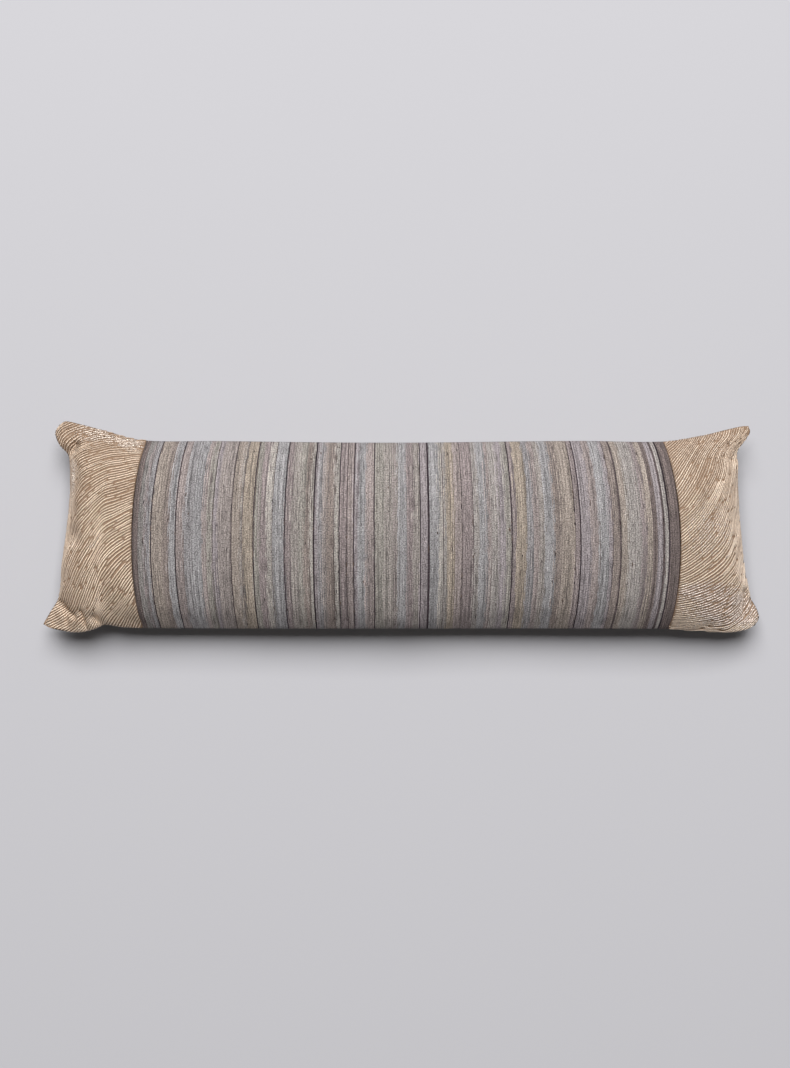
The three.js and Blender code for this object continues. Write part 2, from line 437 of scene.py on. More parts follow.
@dataclass(frozen=True)
class ClothSettling:
    """A short cloth simulation that puckers the cover along its seam.

    The cover starts from its smooth form with its seam pinned and its cloth a little too large, and
    pressure from inside folds the surplus. Only the small folds are kept, mostly near the seam, and the
    broad movement is taken away again.
    """

    spacing: float = 8.0
    frames: int = 20
    growth: float = 0.022
    pressure: float = 4.0
    broad: float = 40.0
    broad_kept: float = 0.15
    softening: float = 6.0
    seam_band: float = 62.0
    middle_share: float = 0.22
    rim_area: float = 40.0
    cap: float = 7.0

    def run(self, form: CoverForm) -> dict[Face, Lattice]:
        """Simulates the cover.

        Args:
            form: the cover's smooth form.

        Returns:
            How far each face moves, none at the seam and at most the cap elsewhere.
        """
        s, t = self._places(form)
        grid_s, grid_t = np.meshgrid(s, t, indexing="ij")
        rest = {face: form_points(form, face, grid_s, grid_t) for face in Face}
        settled = self._settle(rest)
        from_end = (1 - np.abs(grid_s)) * form.cut_length / 2
        from_long_edge = (1 - np.abs(grid_t)) * form.cut_height / 2
        near_end, near_edge = bell(from_end, 1.6 * self.seam_band), bell(from_long_edge, self.seam_band / 2)
        inside = 1 - np.exp(-from_end * from_long_edge / self.rim_area)
        kept = blend(self.middle_share, 1.0, np.maximum(near_end, near_edge)) * inside
        moved = {}
        for face, points in rest.items():
            change = settled[face] - points
            change = change - (1 - self.broad_kept) * blurred(change, self.broad / self.spacing)
            change = blurred(change, self.softening / self.spacing) * kept[..., None]
            size = np.linalg.norm(change, axis=-1, keepdims=True)
            capped = change * self.cap * np.tanh(size / self.cap) / np.maximum(size, 1e-9)
            moved[face] = Lattice(s, t, capped)
        return moved

    def _places(self, form: CoverForm) -> tuple[np.ndarray, np.ndarray]:
        """Places that part the cover's middle lines into even stretches.

        Args:
            form: the cover's smooth form.

        Returns:
            The places along the cover and those across it.
        """
        fine = np.linspace(-1, 1, 2001)
        lines = (
            form_points(form, Face.FRONT, fine, np.zeros_like(fine)),
            form_points(form, Face.FRONT, np.zeros_like(fine), fine),
        )
        counts = (int(form.cut_length / self.spacing) + 1, int(form.cut_height / self.spacing) + 1)
        return tuple(2 * even_places(line, count) - 1 for line, count in zip(lines, counts))

    def _settle(self, rest: dict[Face, np.ndarray]) -> dict[Face, np.ndarray]:
        """Makes one closed cover of both faces, runs the cloth on it and reads both faces back.

        Args:
            rest: the points of each face before the cloth settles.

        Returns:
            The points of each face after it.
        """
        front, back = rest[Face.FRONT], rest[Face.BACK]
        shape = front.shape[:2]
        front_ids = np.arange(front[..., 0].size).reshape(shape)
        inner = np.zeros(shape, bool)
        inner[1:-1, 1:-1] = True
        back_ids = front_ids.copy()
        back_ids[inner] = front_ids.size + np.arange(inner.sum())
        points = np.concatenate([front.reshape(-1, 3), back[inner]])
        faces = np.concatenate([grid_quads(front_ids), grid_quads(back_ids)[:, ::-1]])
        cover = mesh_object("settling_cover", points, faces)
        cover.vertex_groups.new(name="seam").add(front_ids[~inner].tolist(), 1.0, "REPLACE")
        cloth = cover.modifiers.new("Cloth", "CLOTH")
        cloth.settings.vertex_group_mass = "seam"
        cloth.settings.quality = 6
        cloth.settings.mass = 0.4
        cloth.settings.use_pressure = True
        cloth.settings.uniform_pressure_force = self.pressure
        cloth.settings.shrink_min = -self.growth
        cloth.settings.tension_stiffness = 40
        cloth.settings.compression_stiffness = 40
        cloth.settings.shear_stiffness = 10
        cloth.settings.bending_stiffness = 0.5
        cloth.settings.air_damping = 2
        cloth.settings.effector_weights.gravity = 0
        cloth.collision_settings.use_collision = False
        cloth.point_cache.frame_start, cloth.point_cache.frame_end = 1, self.frames
        scene = bpy.context.scene
        for frame in range(1, self.frames + 1):
            scene.frame_set(frame)
        final = cover.evaluated_get(bpy.context.evaluated_depsgraph_get()).data
        settled = np.empty(len(points) * 3, np.float32)
        final.vertices.foreach_get("co", settled)
        scene.frame_set(1)
        bpy.data.objects.remove(cover)
        settled = settled.reshape(-1, 3) / MM
        return {Face.FRONT: settled[front_ids], Face.BACK: settled[back_ids]}


def form_points(form: CoverForm, face: Face, s: np.ndarray, t: np.ndarray) -> np.ndarray:
    """Points of a face's smooth form.

    Args:
        form: the cover's smooth form.
        face: the face.
        s: places along the cover.
        t: places across it.

    Returns:
        The points.
    """
    x, y = form.plan(s, t)
    crown = form.front_crown if face is Face.FRONT else form.back_crown
    return np.stack([x, y, form.level(s, x, y) + face.value * form.height(s, t, crown)], axis=-1)


def grid_quads(ids: np.ndarray) -> np.ndarray:
    """The four-sided faces of a grid of vertex numbers, wound so that they face up on a grid of X by Y."""
    corners = (ids[:-1, :-1], ids[1:, :-1], ids[1:, 1:], ids[:-1, 1:])
    return np.stack([corner.ravel() for corner in corners], axis=1)


def mesh_object(name: str, points: np.ndarray, faces: np.ndarray) -> bpy.types.Object:
    """Makes a smooth-shaded object of faces that all have as many corners.

    Args:
        name: the object's name.
        points: the vertices, in millimetres.
        faces: rows of vertex numbers.

    Returns:
        The object, linked to the scene at the origin.
    """
    mesh = bpy.data.meshes.new(name)
    count, sides = faces.shape
    mesh.vertices.add(len(points))
    mesh.vertices.foreach_set("co", (points * MM).astype(np.float32).ravel())
    mesh.loops.add(count * sides)
    mesh.loops.foreach_set("vertex_index", faces.astype(np.int32).ravel())
    mesh.polygons.add(count)
    mesh.polygons.foreach_set("loop_start", np.arange(0, count * sides, sides, dtype=np.int32))
    mesh.polygons.foreach_set("use_smooth", np.ones(count, bool))
    mesh.update(calc_edges=True)
    mesh.validate()
    made = bpy.data.objects.new(name, mesh)
    bpy.context.scene.collection.objects.link(made)
    return made


@dataclass(frozen=True)
class Relief:
    """The small forms of the finished cover, measured along the smooth form's normals."""

    ripples: tuple[Ripple, ...] = (
        Ripple(cut=448, height=1.9, width=5.5, reach=1.4),
        Ripple(cut=430, height=-1.3, width=6.0, reach=0.9),
        Ripple(cut=417, height=1.2, width=6.0, reach=0.5),
        Ripple(cut=382, height=1.0, width=7.0, reach=0.25),
        Ripple(cut=362, height=-1.2, width=6.0, reach=0.22),
        Ripple(cut=306, height=-1.4, width=6.5, reach=0.22),
        Ripple(cut=292, height=1.0, width=6.0, reach=0.18),
        Ripple(cut=239, height=-1.1, width=5.5, reach=0.2),
    )
    ditch_depth: float = 1.7
    ditch_width: float = 3.2
    pucker_length: float = 23.0
    pucker_height: float = 0.9
    pucker_reach: float = 13.0
    pucker_drift: float = 160.0
    end_puckers: float = 0.9
    end_reach: float = 120.0
    unevenness: float = 1.3
    lump: float = 105.0
    lump_fade: float = 40.0
    rim_fade: float = 5.0

    def lift(self, form: CoverForm, face: Face, s: np.ndarray, t: np.ndarray) -> np.ndarray:
        """How far the finished cover stands proud of the smooth form.

        The puckers are noise along the seam, times (d / reach) exp(1 - d / reach) for the distance d to
        the seam. The filling's lumps are broad noise. The front adds the ditch of each panel seam, a
        bell across it, and the ripples, bells that fade down from the upper edge.

        Args:
            form: the cover's smooth form.
            face: the face.
            s: places along the cover.
            t: places across it.

        Returns:
            The lift, none on the perimeter seam.
        """
        u, v = s * form.cut_length / 2, t * form.cut_height / 2
        from_end, from_long_edge = form.cut_length / 2 - np.abs(u), self._from_long_edge(form, t)
        seed = 11 if face is Face.FRONT else 29
        along_edge, along_end, lumps = SoftNoise(seed), SoftNoise(seed + 1), SoftNoise(seed + 2)
        side = np.where(t > 0, 3.5, 40.5)
        edge_noise = along_edge.at(u / self.pucker_length, side + from_long_edge / self.pucker_drift)
        end_noise = along_end.at(v / self.pucker_length, np.sign(s) * 7.5 + from_end / self.pucker_drift)
        near_ends = 1 + self.end_puckers * bell(from_end, self.end_reach)
        lift = self.pucker_height * near_ends * edge_noise * self._swell(from_long_edge)
        lift = lift + self.pucker_height * 1.5 * end_noise * self._swell(from_end)
        along, across = u / self.lump, v / self.lump
        broad = lumps.at(along, across) + 0.5 * lumps.at(along * 2.1, across * 2.1 + 9)
        lift = lift + self.unevenness * broad * (1 - bell(from_end, self.lump_fade))
        if face is Face.FRONT:
            for seam in (form.left_seam, form.right_seam):
                lift = lift - self.ditch_depth * bell(u - seam.cut, self.ditch_width)
            for ripple in self.ripples:
                fading = np.exp((t - 1) / ripple.reach)
                lift = lift + ripple.height * bell(u - ripple.cut, ripple.width) * fading
        return lift * (1 - bell(from_end, self.rim_fade)) * (1 - bell(from_long_edge, self.rim_fade))

    def _swell(self, distance: np.ndarray) -> np.ndarray:
        """(d / reach) exp(1 - d / reach): none at the seam, full a reach from it, and fading further in."""
        share = distance / self.pucker_reach
        return share * np.exp(1 - share)

    @staticmethod
    def _from_long_edge(form: CoverForm, t: np.ndarray) -> np.ndarray:
        """The distance over the curved cloth from the nearer long edge, on the middle section.

        Args:
            form: the cover's smooth form.
            t: places across the cover.

        Returns:
            The distances.
        """
        fine = np.linspace(0, 1, 800)
        line = form_points(form, Face.FRONT, np.zeros_like(fine), fine)
        length = np.concatenate([[0], np.cumsum(np.linalg.norm(np.diff(line, axis=0), axis=1))])
        return length[-1] - np.interp(np.abs(t), fine, length)


@dataclass(frozen=True)
class Cover:
    """The finished cover: its smooth form, the folds that settled in it and its small relief."""

    form: CoverForm
    settled: dict[Face, Lattice]
    relief: Relief = Relief()
    floor_rounding: float = 3.0
    nudge: float = 0.002

    def points(self, face: Face, s: np.ndarray, t: np.ndarray) -> np.ndarray:
        """Points of a face of the finished cover.

        They are the form's, moved along its normals by the relief, moved as the cloth settled, and kept
        above the floor by a rounded corner.

        Args:
            face: the face.
            s: places along the cover.
            t: places across it.

        Returns:
            The points.
        """
        points = form_points(self.form, face, s, t)
        lift = self.relief.lift(self.form, face, s, t)[..., None]
        points = points + self._normals(face, s, t) * lift + self.settled[face].at(s, t)
        z = points[..., 2]
        share = np.clip(0.5 + 0.5 * z / self.floor_rounding, 0, 1)
        points[..., 2] = z * share + self.floor_rounding * share * (1 - share)
        return points

    def _normals(self, face: Face, s: np.ndarray, t: np.ndarray) -> np.ndarray:
        """The form's outward normals, from the steps to its neighbours along and across.

        Args:
            face: the face.
            s: places along the cover.
            t: places across it.

        Returns:
            The unit normals.
        """
        low_s, high_s = np.maximum(s - self.nudge, -1), np.minimum(s + self.nudge, 1)
        low_t, high_t = np.maximum(t - self.nudge, -1), np.minimum(t + self.nudge, 1)
        along = form_points(self.form, face, high_s, t) - form_points(self.form, face, low_s, t)
        across = form_points(self.form, face, s, high_t) - form_points(self.form, face, s, low_t)
        normal = np.cross(along, across) * face.value
        return normal / np.linalg.norm(normal, axis=-1, keepdims=True)


def resampled(points: np.ndarray, places: np.ndarray, reach: float) -> np.ndarray:
    """Reads lines of points again at shares of their own length.

    Each line's lengths are evened with its neighbours' by a bell, so that a fold that crosses a few
    lines doesn't push their cloth aside.

    Args:
        points: the lines, one a row.
        places: the shares, from 0 to 1.
        reach: the reach of the evening bell, in lines.

    Returns:
        The new points of each line.
    """
    steps = np.linalg.norm(np.diff(points, axis=1), axis=2)
    length = np.concatenate([np.zeros((len(points), 1)), np.cumsum(steps, axis=1)], axis=1)
    length /= length[:, -1:]
    count = int(np.ceil(reach * 3))
    weights = bell(np.arange(-count, count + 1), reach * np.sqrt(2))
    padded = np.pad(length, ((count, count), (0, 0)), mode="edge")
    length = sum(w * padded[k : k + len(points)] for k, w in enumerate(weights / weights.sum()))
    axes = range(points.shape[2])
    read = [[np.interp(places, run, line[:, k]) for run, line in zip(length, points)] for k in axes]
    return np.stack(read, axis=-1)


@dataclass(frozen=True)
class ClothPatch:
    """A stretch of the cover's cloth, evenly spaced over the curved surface.

    u holds the columns' places in the flat cut and v the rows', in millimetres, and points and normals
    hold the cloth's face at each column and row.
    """

    FINE_STEP: ClassVar[float] = 1.2
    FINE_ROWS: ClassVar[int] = 420
    EVENED: ClassVar[float] = 12.0
    u: np.ndarray
    v: np.ndarray
    points: np.ndarray
    normals: np.ndarray

    @classmethod
    def cut(cls, cover: Cover, face: Face, u: np.ndarray, rows: int) -> ClothPatch:
        """Cuts a patch from the cover.

        The face is sampled finely, each column is spaced again evenly by its own length, and then each
        row by the columns' places.

        Args:
            cover: the cover.
            face: its face.
            u: the columns' places in the flat cut, rising.
            rows: the number of rows across the face.

        Returns:
            The patch.
        """
        half_length, half_height = cover.form.cut_length / 2, cover.form.cut_height / 2
        fine_s = np.linspace(u[0], u[-1], int((u[-1] - u[0]) / cls.FINE_STEP)) / half_length
        fine_t = np.sin(np.linspace(-np.pi / 2, np.pi / 2, cls.FINE_ROWS))
        points = cover.points(face, *np.meshgrid(fine_s, fine_t, indexing="ij"))
        points = resampled(points, np.linspace(0, 1, rows), cls.EVENED / cls.FINE_STEP)
        reach = cls.EVENED * (rows - 1) / cover.form.cut_height
        shares = (u - u[0]) / (u[-1] - u[0])
        points = resampled(points.transpose(1, 0, 2), shares, reach).transpose(1, 0, 2)
        normals = np.cross(np.gradient(points, axis=0), np.gradient(points, axis=1)) * face.value
        normals /= np.linalg.norm(normals, axis=-1, keepdims=True)
        return cls(u, np.linspace(-half_height, half_height, rows), points, normals)

    def raised(self, by: float) -> ClothPatch:
        """The same patch moved along its normals, with its rim kept at its own height.

        Args:
            by: how far it moves.

        Returns:
            The moved patch.
        """
        moved = self.points + self.normals * by
        rim = np.ones(moved.shape[:2], bool)
        rim[1:-1, 1:-1] = False
        moved[rim, 2] = self.points[rim, 2]
        return ClothPatch(self.u, self.v, moved, self.normals)


def closed_sheet(
    name: str, outer: ClothPatch, inner: ClothPatch, u_of_column: np.ndarray
) -> bpy.types.Object:
    """A closed mesh between two patches with the same columns and rows, walled round the rim.

    Args:
        name: the object's name.
        outer: the face that shows.
        inner: the face towards the filling.
        u_of_column: the first coordinate of the UV map "cloth" for each column, in millimetres. The second
            one is v.

    Returns:
        The object.
    """
    shape = outer.points.shape[:2]
    ids = np.arange(shape[0] * shape[1]).reshape(shape)
    rim = np.concatenate([ids[:-1, 0], ids[-1, :-1], ids[:0:-1, -1], ids[0, :0:-1]])
    turned = np.roll(rim, -1)
    walls = np.stack([rim + ids.size, turned + ids.size, turned, rim], axis=1)
    quads = np.concatenate([grid_quads(ids), grid_quads(ids)[:, ::-1] + ids.size, walls])
    facing_up = outer.normals[shape[0] // 2, shape[1] // 2, 2] > 0
    if not facing_up:
        quads = quads[:, ::-1]
    points = np.concatenate([outer.points.reshape(-1, 3), inner.points.reshape(-1, 3)])
    made = mesh_object(name, points, quads)
    smooth = np.ones(len(quads), bool)
    smooth[-len(walls) :] = False
    made.data.polygons.foreach_set("use_smooth", smooth)
    cloth = np.stack(np.meshgrid(u_of_column, outer.v, indexing="ij"), axis=-1).reshape(-1, 2)
    set_uv(made.data, np.concatenate([cloth, cloth]) * MM)
    return made


def set_marks(mesh: bpy.types.Mesh, shade: np.ndarray, glint: np.ndarray) -> None:
    """Gives a mesh the attribute "marks".

    Args:
        mesh: the mesh.
        shade: a value for each vertex, kept in the attribute's red.
        glint: another, kept in its green.
    """
    marks = np.ones((len(mesh.vertices), 4), np.float32)
    marks[:, 0], marks[:, 1], marks[:, 2] = shade, glint, 0
    mesh.attributes.new("marks", "FLOAT_COLOR", "POINT").data.foreach_set("color", marks.ravel())


def set_uv(mesh: bpy.types.Mesh, uv_of_vertex: np.ndarray) -> None:
    """Gives a mesh the UV map "cloth".

    Args:
        mesh: the mesh.
        uv_of_vertex: the place on the map of each vertex.
    """
    corners = np.empty(len(mesh.loops), np.int32)
    mesh.loops.foreach_get("vertex_index", corners)
    layer = mesh.uv_layers.new(name="cloth")
    layer.data.foreach_set("uv", uv_of_vertex[corners].astype(np.float32).ravel())


@dataclass(frozen=True)
class Heading:
    """The cords' direction near a place on a panel: millimetres from its middle, and degrees."""

    u: float
    v: float
    angle: float


@dataclass(frozen=True)
class CordLayout:
    """The couched cords of one end panel: combed lines a pitch apart that end where they would touch."""

    headings: tuple[Heading, ...]
    pitch: float
    reach: float = 75.0
    unrest: float = 6.0
    unrest_size: float = 30.0
    closest: float = 0.56
    step: float = 1.8
    least_steps: int = 22
    most_steps: int = 80
    shortest: float = 11.0
    margin: float = 0.4
    cell: float = 0.4
    wobble: float = 0.4
    seed: int = 5

    def runs(self, low: float, high: float, height: float) -> tuple[np.ndarray, np.ndarray]:
        """Lays the cords on the flat panel.

        The first cord starts in the middle. Each later generation is tried a pitch to either side of
        the cords laid in the last one, and follows the headings both ways until it leaves the panel or
        comes too close to a laid cord.

        Args:
            low: where the panel starts along the cushion.
            high: where it ends.
            height: its height, with its middle at 0.

        Returns:
            The points (u, v) of all cords, one after another, and the number of the cord that each
            belongs to.
        """
        size, middle = np.array([high - low, height]), np.array([(low + high) / 2, 0.0])
        taken = np.zeros(np.ceil(size / self.cell).astype(int) + 1, bool)
        near = self._disc(self.pitch * self.closest)
        tried, laid, lengths = np.zeros((1, 2)), [], np.random.default_rng(self.seed)
        while len(tried):
            fresh = []
            for seed, line in zip(tried, self._followed(tried)):
                if self._free(seed[None, :], size, taken)[0]:
                    reaches = lengths.integers(self.least_steps, self.most_steps, 2)
                    run = self._free_run(line, self._free(line, size, taken), reaches)
                    if len(run) * self.step > self.shortest:
                        self._take(run, size, taken, near)
                        fresh.append(run)
            laid += fresh
            tried = np.concatenate([self._beside(run) for run in fresh]) if fresh else np.zeros((0, 2))
        owners = np.repeat(np.arange(len(laid)), [len(run) for run in laid])
        points = np.concatenate(laid)
        own = SoftNoise(self.seed + 1)
        shift = [own.at(points[:, 0] / 9 + k * 31.7, points[:, 1] / 9 + owners * 1.37) for k in (0, 1)]
        return points + middle + self.wobble * np.stack(shift, axis=1), owners

    def _directions(self, places: np.ndarray) -> np.ndarray:
        """The directions of the cords.

        They are the headings' double angles, weighted by bells of the distance to them, halved again
        and turned by a little noise.

        Args:
            places: the places (u, v).

        Returns:
            A unit vector for each place.
        """
        away = [np.hypot(places[:, 0] - h.u, places[:, 1] - h.v) for h in self.headings]
        weights = [bell(distance, self.reach) + 1e-6 for distance in away]
        doubled = [2 * np.radians(h.angle) for h in self.headings]
        east = sum(w * np.cos(a) for w, a in zip(weights, doubled))
        north = sum(w * np.sin(a) for w, a in zip(weights, doubled))
        noise = SoftNoise(self.seed).at(places[:, 0] / self.unrest_size, places[:, 1] / self.unrest_size)
        angle = np.arctan2(north, east) / 2 + np.radians(self.unrest) * noise
        return np.stack([np.cos(angle), np.sin(angle)], axis=1)

    def _followed(self, seeds: np.ndarray) -> np.ndarray:
        """Follows the headings both ways from each seed.

        Args:
            seeds: the places to start from.

        Returns:
            One line of points for each seed, with the seed in its middle.
        """
        ways = []
        for sign in (-1, 1):
            at, going, line = seeds, sign * self._directions(seeds), []
            for _ in range(self.most_steps):
                at = at + going * self.step
                turned = self._directions(at)
                going = turned * np.sign((turned * going).sum(axis=1, keepdims=True))
                line.append(at)
            ways.append(line)
        return np.stack(ways[0][::-1] + [seeds] + ways[1], axis=1)

    def _free(self, places: np.ndarray, size: np.ndarray, taken: np.ndarray) -> np.ndarray:
        """Which places are on the panel and not too close to a laid cord.

        Args:
            places: the places.
            size: the panel's size.
            taken: the cells that laid cords take.

        Returns:
            True where a place is free.
        """
        inside = np.all(np.abs(places) < size / 2 - self.margin, axis=1)
        cells = np.clip(((places + size / 2) / self.cell).astype(int), 0, np.array(taken.shape) - 1)
        return inside & ~taken[cells[:, 0], cells[:, 1]]

    def _free_run(self, line: np.ndarray, free: np.ndarray, reaches: np.ndarray) -> np.ndarray:
        """The stretch of a line round its middle in which every point is free.

        Args:
            line: the line's points.
            free: which of them are free.
            reaches: the most points that it may keep on either side of its middle.

        Returns:
            The stretch's points.
        """
        blocked = np.flatnonzero(~free)
        before, after = blocked[blocked < self.most_steps], blocked[blocked > self.most_steps]
        first = max(before[-1] + 1 if len(before) else 0, self.most_steps - reaches[0])
        return line[first : min(after[0] if len(after) else len(line), self.most_steps + reaches[1])]

    def _take(self, run: np.ndarray, size: np.ndarray, taken: np.ndarray, near: np.ndarray) -> None:
        """Marks the cells round a laid cord as taken.

        Args:
            run: the cord's points.
            size: the panel's size.
            taken: the cells, which it changes.
            near: the cells of a disc round a point.
        """
        cells = ((run + size / 2) / self.cell).astype(int)[:, None, :] + near[None, :, :]
        cells = np.clip(cells, 0, np.array(taken.shape) - 1).reshape(-1, 2)
        taken[cells[:, 0], cells[:, 1]] = True

    def _disc(self, radius: float) -> np.ndarray:
        """The cells of a disc, counted from its middle.

        Args:
            radius: the disc's radius.

        Returns:
            Their steps along both axes, one cell a row.
        """
        count = int(radius / self.cell)
        span = np.arange(-count, count + 1)
        cells = np.stack(np.meshgrid(span, span, indexing="ij"), axis=-1).reshape(-1, 2)
        return cells[np.hypot(cells[:, 0], cells[:, 1]) * self.cell <= radius]

    def _beside(self, run: np.ndarray) -> np.ndarray:
        """Places a pitch to either side of a cord.

        Args:
            run: the cord's points.

        Returns:
            The places, for every fourth of its points.
        """
        along = np.gradient(run, axis=0)
        along /= np.linalg.norm(along, axis=1, keepdims=True)
        aside = np.stack([-along[:, 1], along[:, 0]], axis=1) * self.pitch
        return np.concatenate([run[::4] + aside[::4], run[::4] - aside[::4]])


@dataclass(frozen=True)
class YarnSection:
    """The section of a yarn that is laid on cloth, and the twist that it is given."""

    width: float
    height: float
    sunk: float
    twist: float = 0.0
    lay: float = 15.0
    sides: int = 8

    def swept(
        self, name: str, patch: ClothPatch, runs: tuple[np.ndarray, np.ndarray], size: np.ndarray
    ) -> bpy.types.Object:
        """Sweeps the section along runs over the cloth.

        At each point the section stands on the cloth's normal. Its corner at angle a lies at
        width / 2 cos(a) across the run and height / 2 sin(a) above its middle, times the point's size
        and 1 + twist cos(2 (a - phase)), where the phase turns once a lay. A flat end closes each run.

        Args:
            name: the object's name.
            patch: the cloth.
            runs: the points (u, v) of all runs, and the number of the run that each belongs to, rising.
            size: the size of the section at each point, 1 where it is full.

        Returns:
            The object. Its UV map "cloth" holds the metres along the yarn and the turns round it from
            its strand.
        """
        points, owners = runs
        on_cloth = Lattice(patch.u, patch.v, np.concatenate([patch.points, patch.normals], axis=2))
        found = on_cloth.at(points[:, 0], points[:, 1])
        centre, normal = found[:, :3], found[:, 3:]
        joined = owners[1:] == owners[:-1]
        steps = np.where(joined[:, None], np.diff(centre, axis=0), 0)
        length = np.concatenate([[0], np.cumsum(np.linalg.norm(steps, axis=1))])
        along = np.pad(steps, ((0, 1), (0, 0))) + np.pad(steps, ((1, 0), (0, 0)))
        across = np.cross(normal, along)
        across /= np.linalg.norm(across, axis=1, keepdims=True)
        angle = ((np.arange(self.sides) + 0.5) / self.sides - 0.25) * 2 * np.pi
        phase = length / self.lay * 2 * np.pi + owners * 2.4
        from_strand = angle[None, :] - phase[:, None]
        size = size[:, None] * (1 + self.twist * np.cos(2 * from_strand))
        middle = centre + normal * (self.height / 2 - self.sunk)
        ring = (
            middle[:, None, :]
            + across[:, None, :] * (size * np.cos(angle) * self.width / 2)[..., None]
            + normal[:, None, :] * (size * np.sin(angle) * self.height / 2)[..., None]
        )
        ids = np.arange(len(centre) * self.sides).reshape(-1, self.sides)
        here, there = ids[:-1][joined], ids[1:][joined]
        quads = np.stack([here, np.roll(here, -1, 1), np.roll(there, -1, 1), there], axis=-1).reshape(-1, 4)
        first = np.concatenate([[True], ~joined])
        last = np.concatenate([~joined, [True]])
        caps = np.concatenate([self._caps(ids[first])[:, ::-1], self._caps(ids[last])])
        made = mesh_object(name, ring.reshape(-1, 3), np.concatenate([quads, caps]))
        metres = np.broadcast_to((length * MM)[:, None], from_strand.shape)
        set_uv(made.data, np.stack([metres, from_strand / (2 * np.pi)], axis=-1).reshape(-1, 2))
        return made

    def tops(self) -> np.ndarray:
        """How high each corner of the section stands, from -1 to 1."""
        return np.sin(((np.arange(self.sides) + 0.5) / self.sides - 0.25) * 2 * np.pi)

    def _caps(self, rings: np.ndarray) -> np.ndarray:
        """Four-sided faces that close rings of corners, as a ladder between the two halves of each."""
        rungs = [[k, k + 1, self.sides - 2 - k, self.sides - 1 - k] for k in range(self.sides // 2 - 1)]
        return np.concatenate([rings[:, rung] for rung in rungs])


class NodeBench:
    """Adds nodes to one node tree and joins them as it goes."""

    def __init__(self, tree: bpy.types.NodeTree) -> None:
        """Takes the tree to work on."""
        self.tree = tree

    def add(self, kind: str, settings: dict[str, object] | None = None, **inputs: object) -> bpy.types.Node:
        """Adds a node.

        Args:
            kind: the node's type, without its "ShaderNode".
            settings: values of the node's own properties.
            inputs: what goes into each input: a socket to join it to, or a plain value. An input's name has
                underscores for its spaces, or is in0, in1 and so on for its place in the list.

        Returns:
            The node.
        """
        node = self.tree.nodes.new(kind if kind.startswith("Node") else "ShaderNode" + kind)
        for name, value in (settings or {}).items():
            setattr(node, name, value)
        for name, value in inputs.items():
            place = name[2:]
            socket = node.inputs[int(place) if place.isdigit() else name.replace("_", " ")]
            if isinstance(value, bpy.types.NodeSocket):
                self.tree.links.new(value, socket)
            else:
                socket.default_value = value
        return node

    def math(self, operation: str, *terms: object) -> bpy.types.NodeSocket:
        """The result of a Math node."""
        numbered = {f"in{k}": term for k, term in enumerate(terms)}
        return self.add("Math", {"operation": operation}, **numbered).outputs[0]

    def mixed(self, share: object, low: object, high: object, kind: str = "MIX") -> bpy.types.NodeSocket:
        """The result of a colour Mix node."""
        settings = {"data_type": "RGBA", "blend_type": kind, "clamp_factor": True}
        return self.add("Mix", settings, in0=share, in6=low, in7=high).outputs[2]

    def ranged(
        self, value: object, low: float, high: float, to_low: float, to_high: float
    ) -> bpy.types.NodeSocket:
        """A value carried from one range to another, and held inside the new one."""
        terms = {"Value": value, "From_Min": low, "From_Max": high, "To_Min": to_low, "To_Max": to_high}
        return self.add("MapRange", None, **terms).outputs[0]


def linear(tone: tuple[float, float, float]) -> tuple[float, float, float, float]:
    """A display colour as the linear one that shaders take.

    Args:
        tone: its red, green and blue, from 0 to 255.

    Returns:
        The linear colour, opaque.
    """
    share = np.array(tone) / 255
    low, high = share / 12.92, ((share + 0.055) / 1.055) ** 2.4
    return (*np.where(share <= 0.04045, low, high), 1.0)


def effect(
    name: str, inputs: dict[str, str], outputs: dict[str, str]
) -> tuple[bpy.types.NodeTree, NodeBench]:
    """Starts a shader node group.

    Args:
        name: the group's name.
        inputs: its inputs' names and types, a type without its "NodeSocket".
        outputs: its outputs' names and types.

    Returns:
        The group and a bench on it.
    """
    group = bpy.data.node_groups.new(name, "ShaderNodeTree")
    for way, sockets in (("INPUT", inputs), ("OUTPUT", outputs)):
        for socket, kind in sockets.items():
            group.interface.new_socket(socket, in_out=way, socket_type="NodeSocket" + kind)
    return group, NodeBench(group)


class Tone(Enum):
    """The band's yarn colours, as display values from 0 to 255."""

    INK = (66, 56, 61)
    LINE = (98, 87, 87)
    EDGE = (122, 110, 107)
    MAUVE = (153, 141, 140)
    BROWN = (148, 136, 130)
    SLATE = (145, 140, 137)
    TAUPE = (160, 150, 146)
    GREY_TAUPE = (160, 152, 147)
    TAN = (166, 154, 145)
    OCHRE = (170, 157, 144)
    GREEN_GREY = (164, 158, 151)
    BLUE_GREY = (155, 151, 152)
    LAVENDER = (162, 153, 155)
    PINK = (163, 151, 148)
    PALE_BLUE = (163, 160, 161)
    PALE_GREY = (169, 162, 158)
    SILVER = (177, 170, 164)


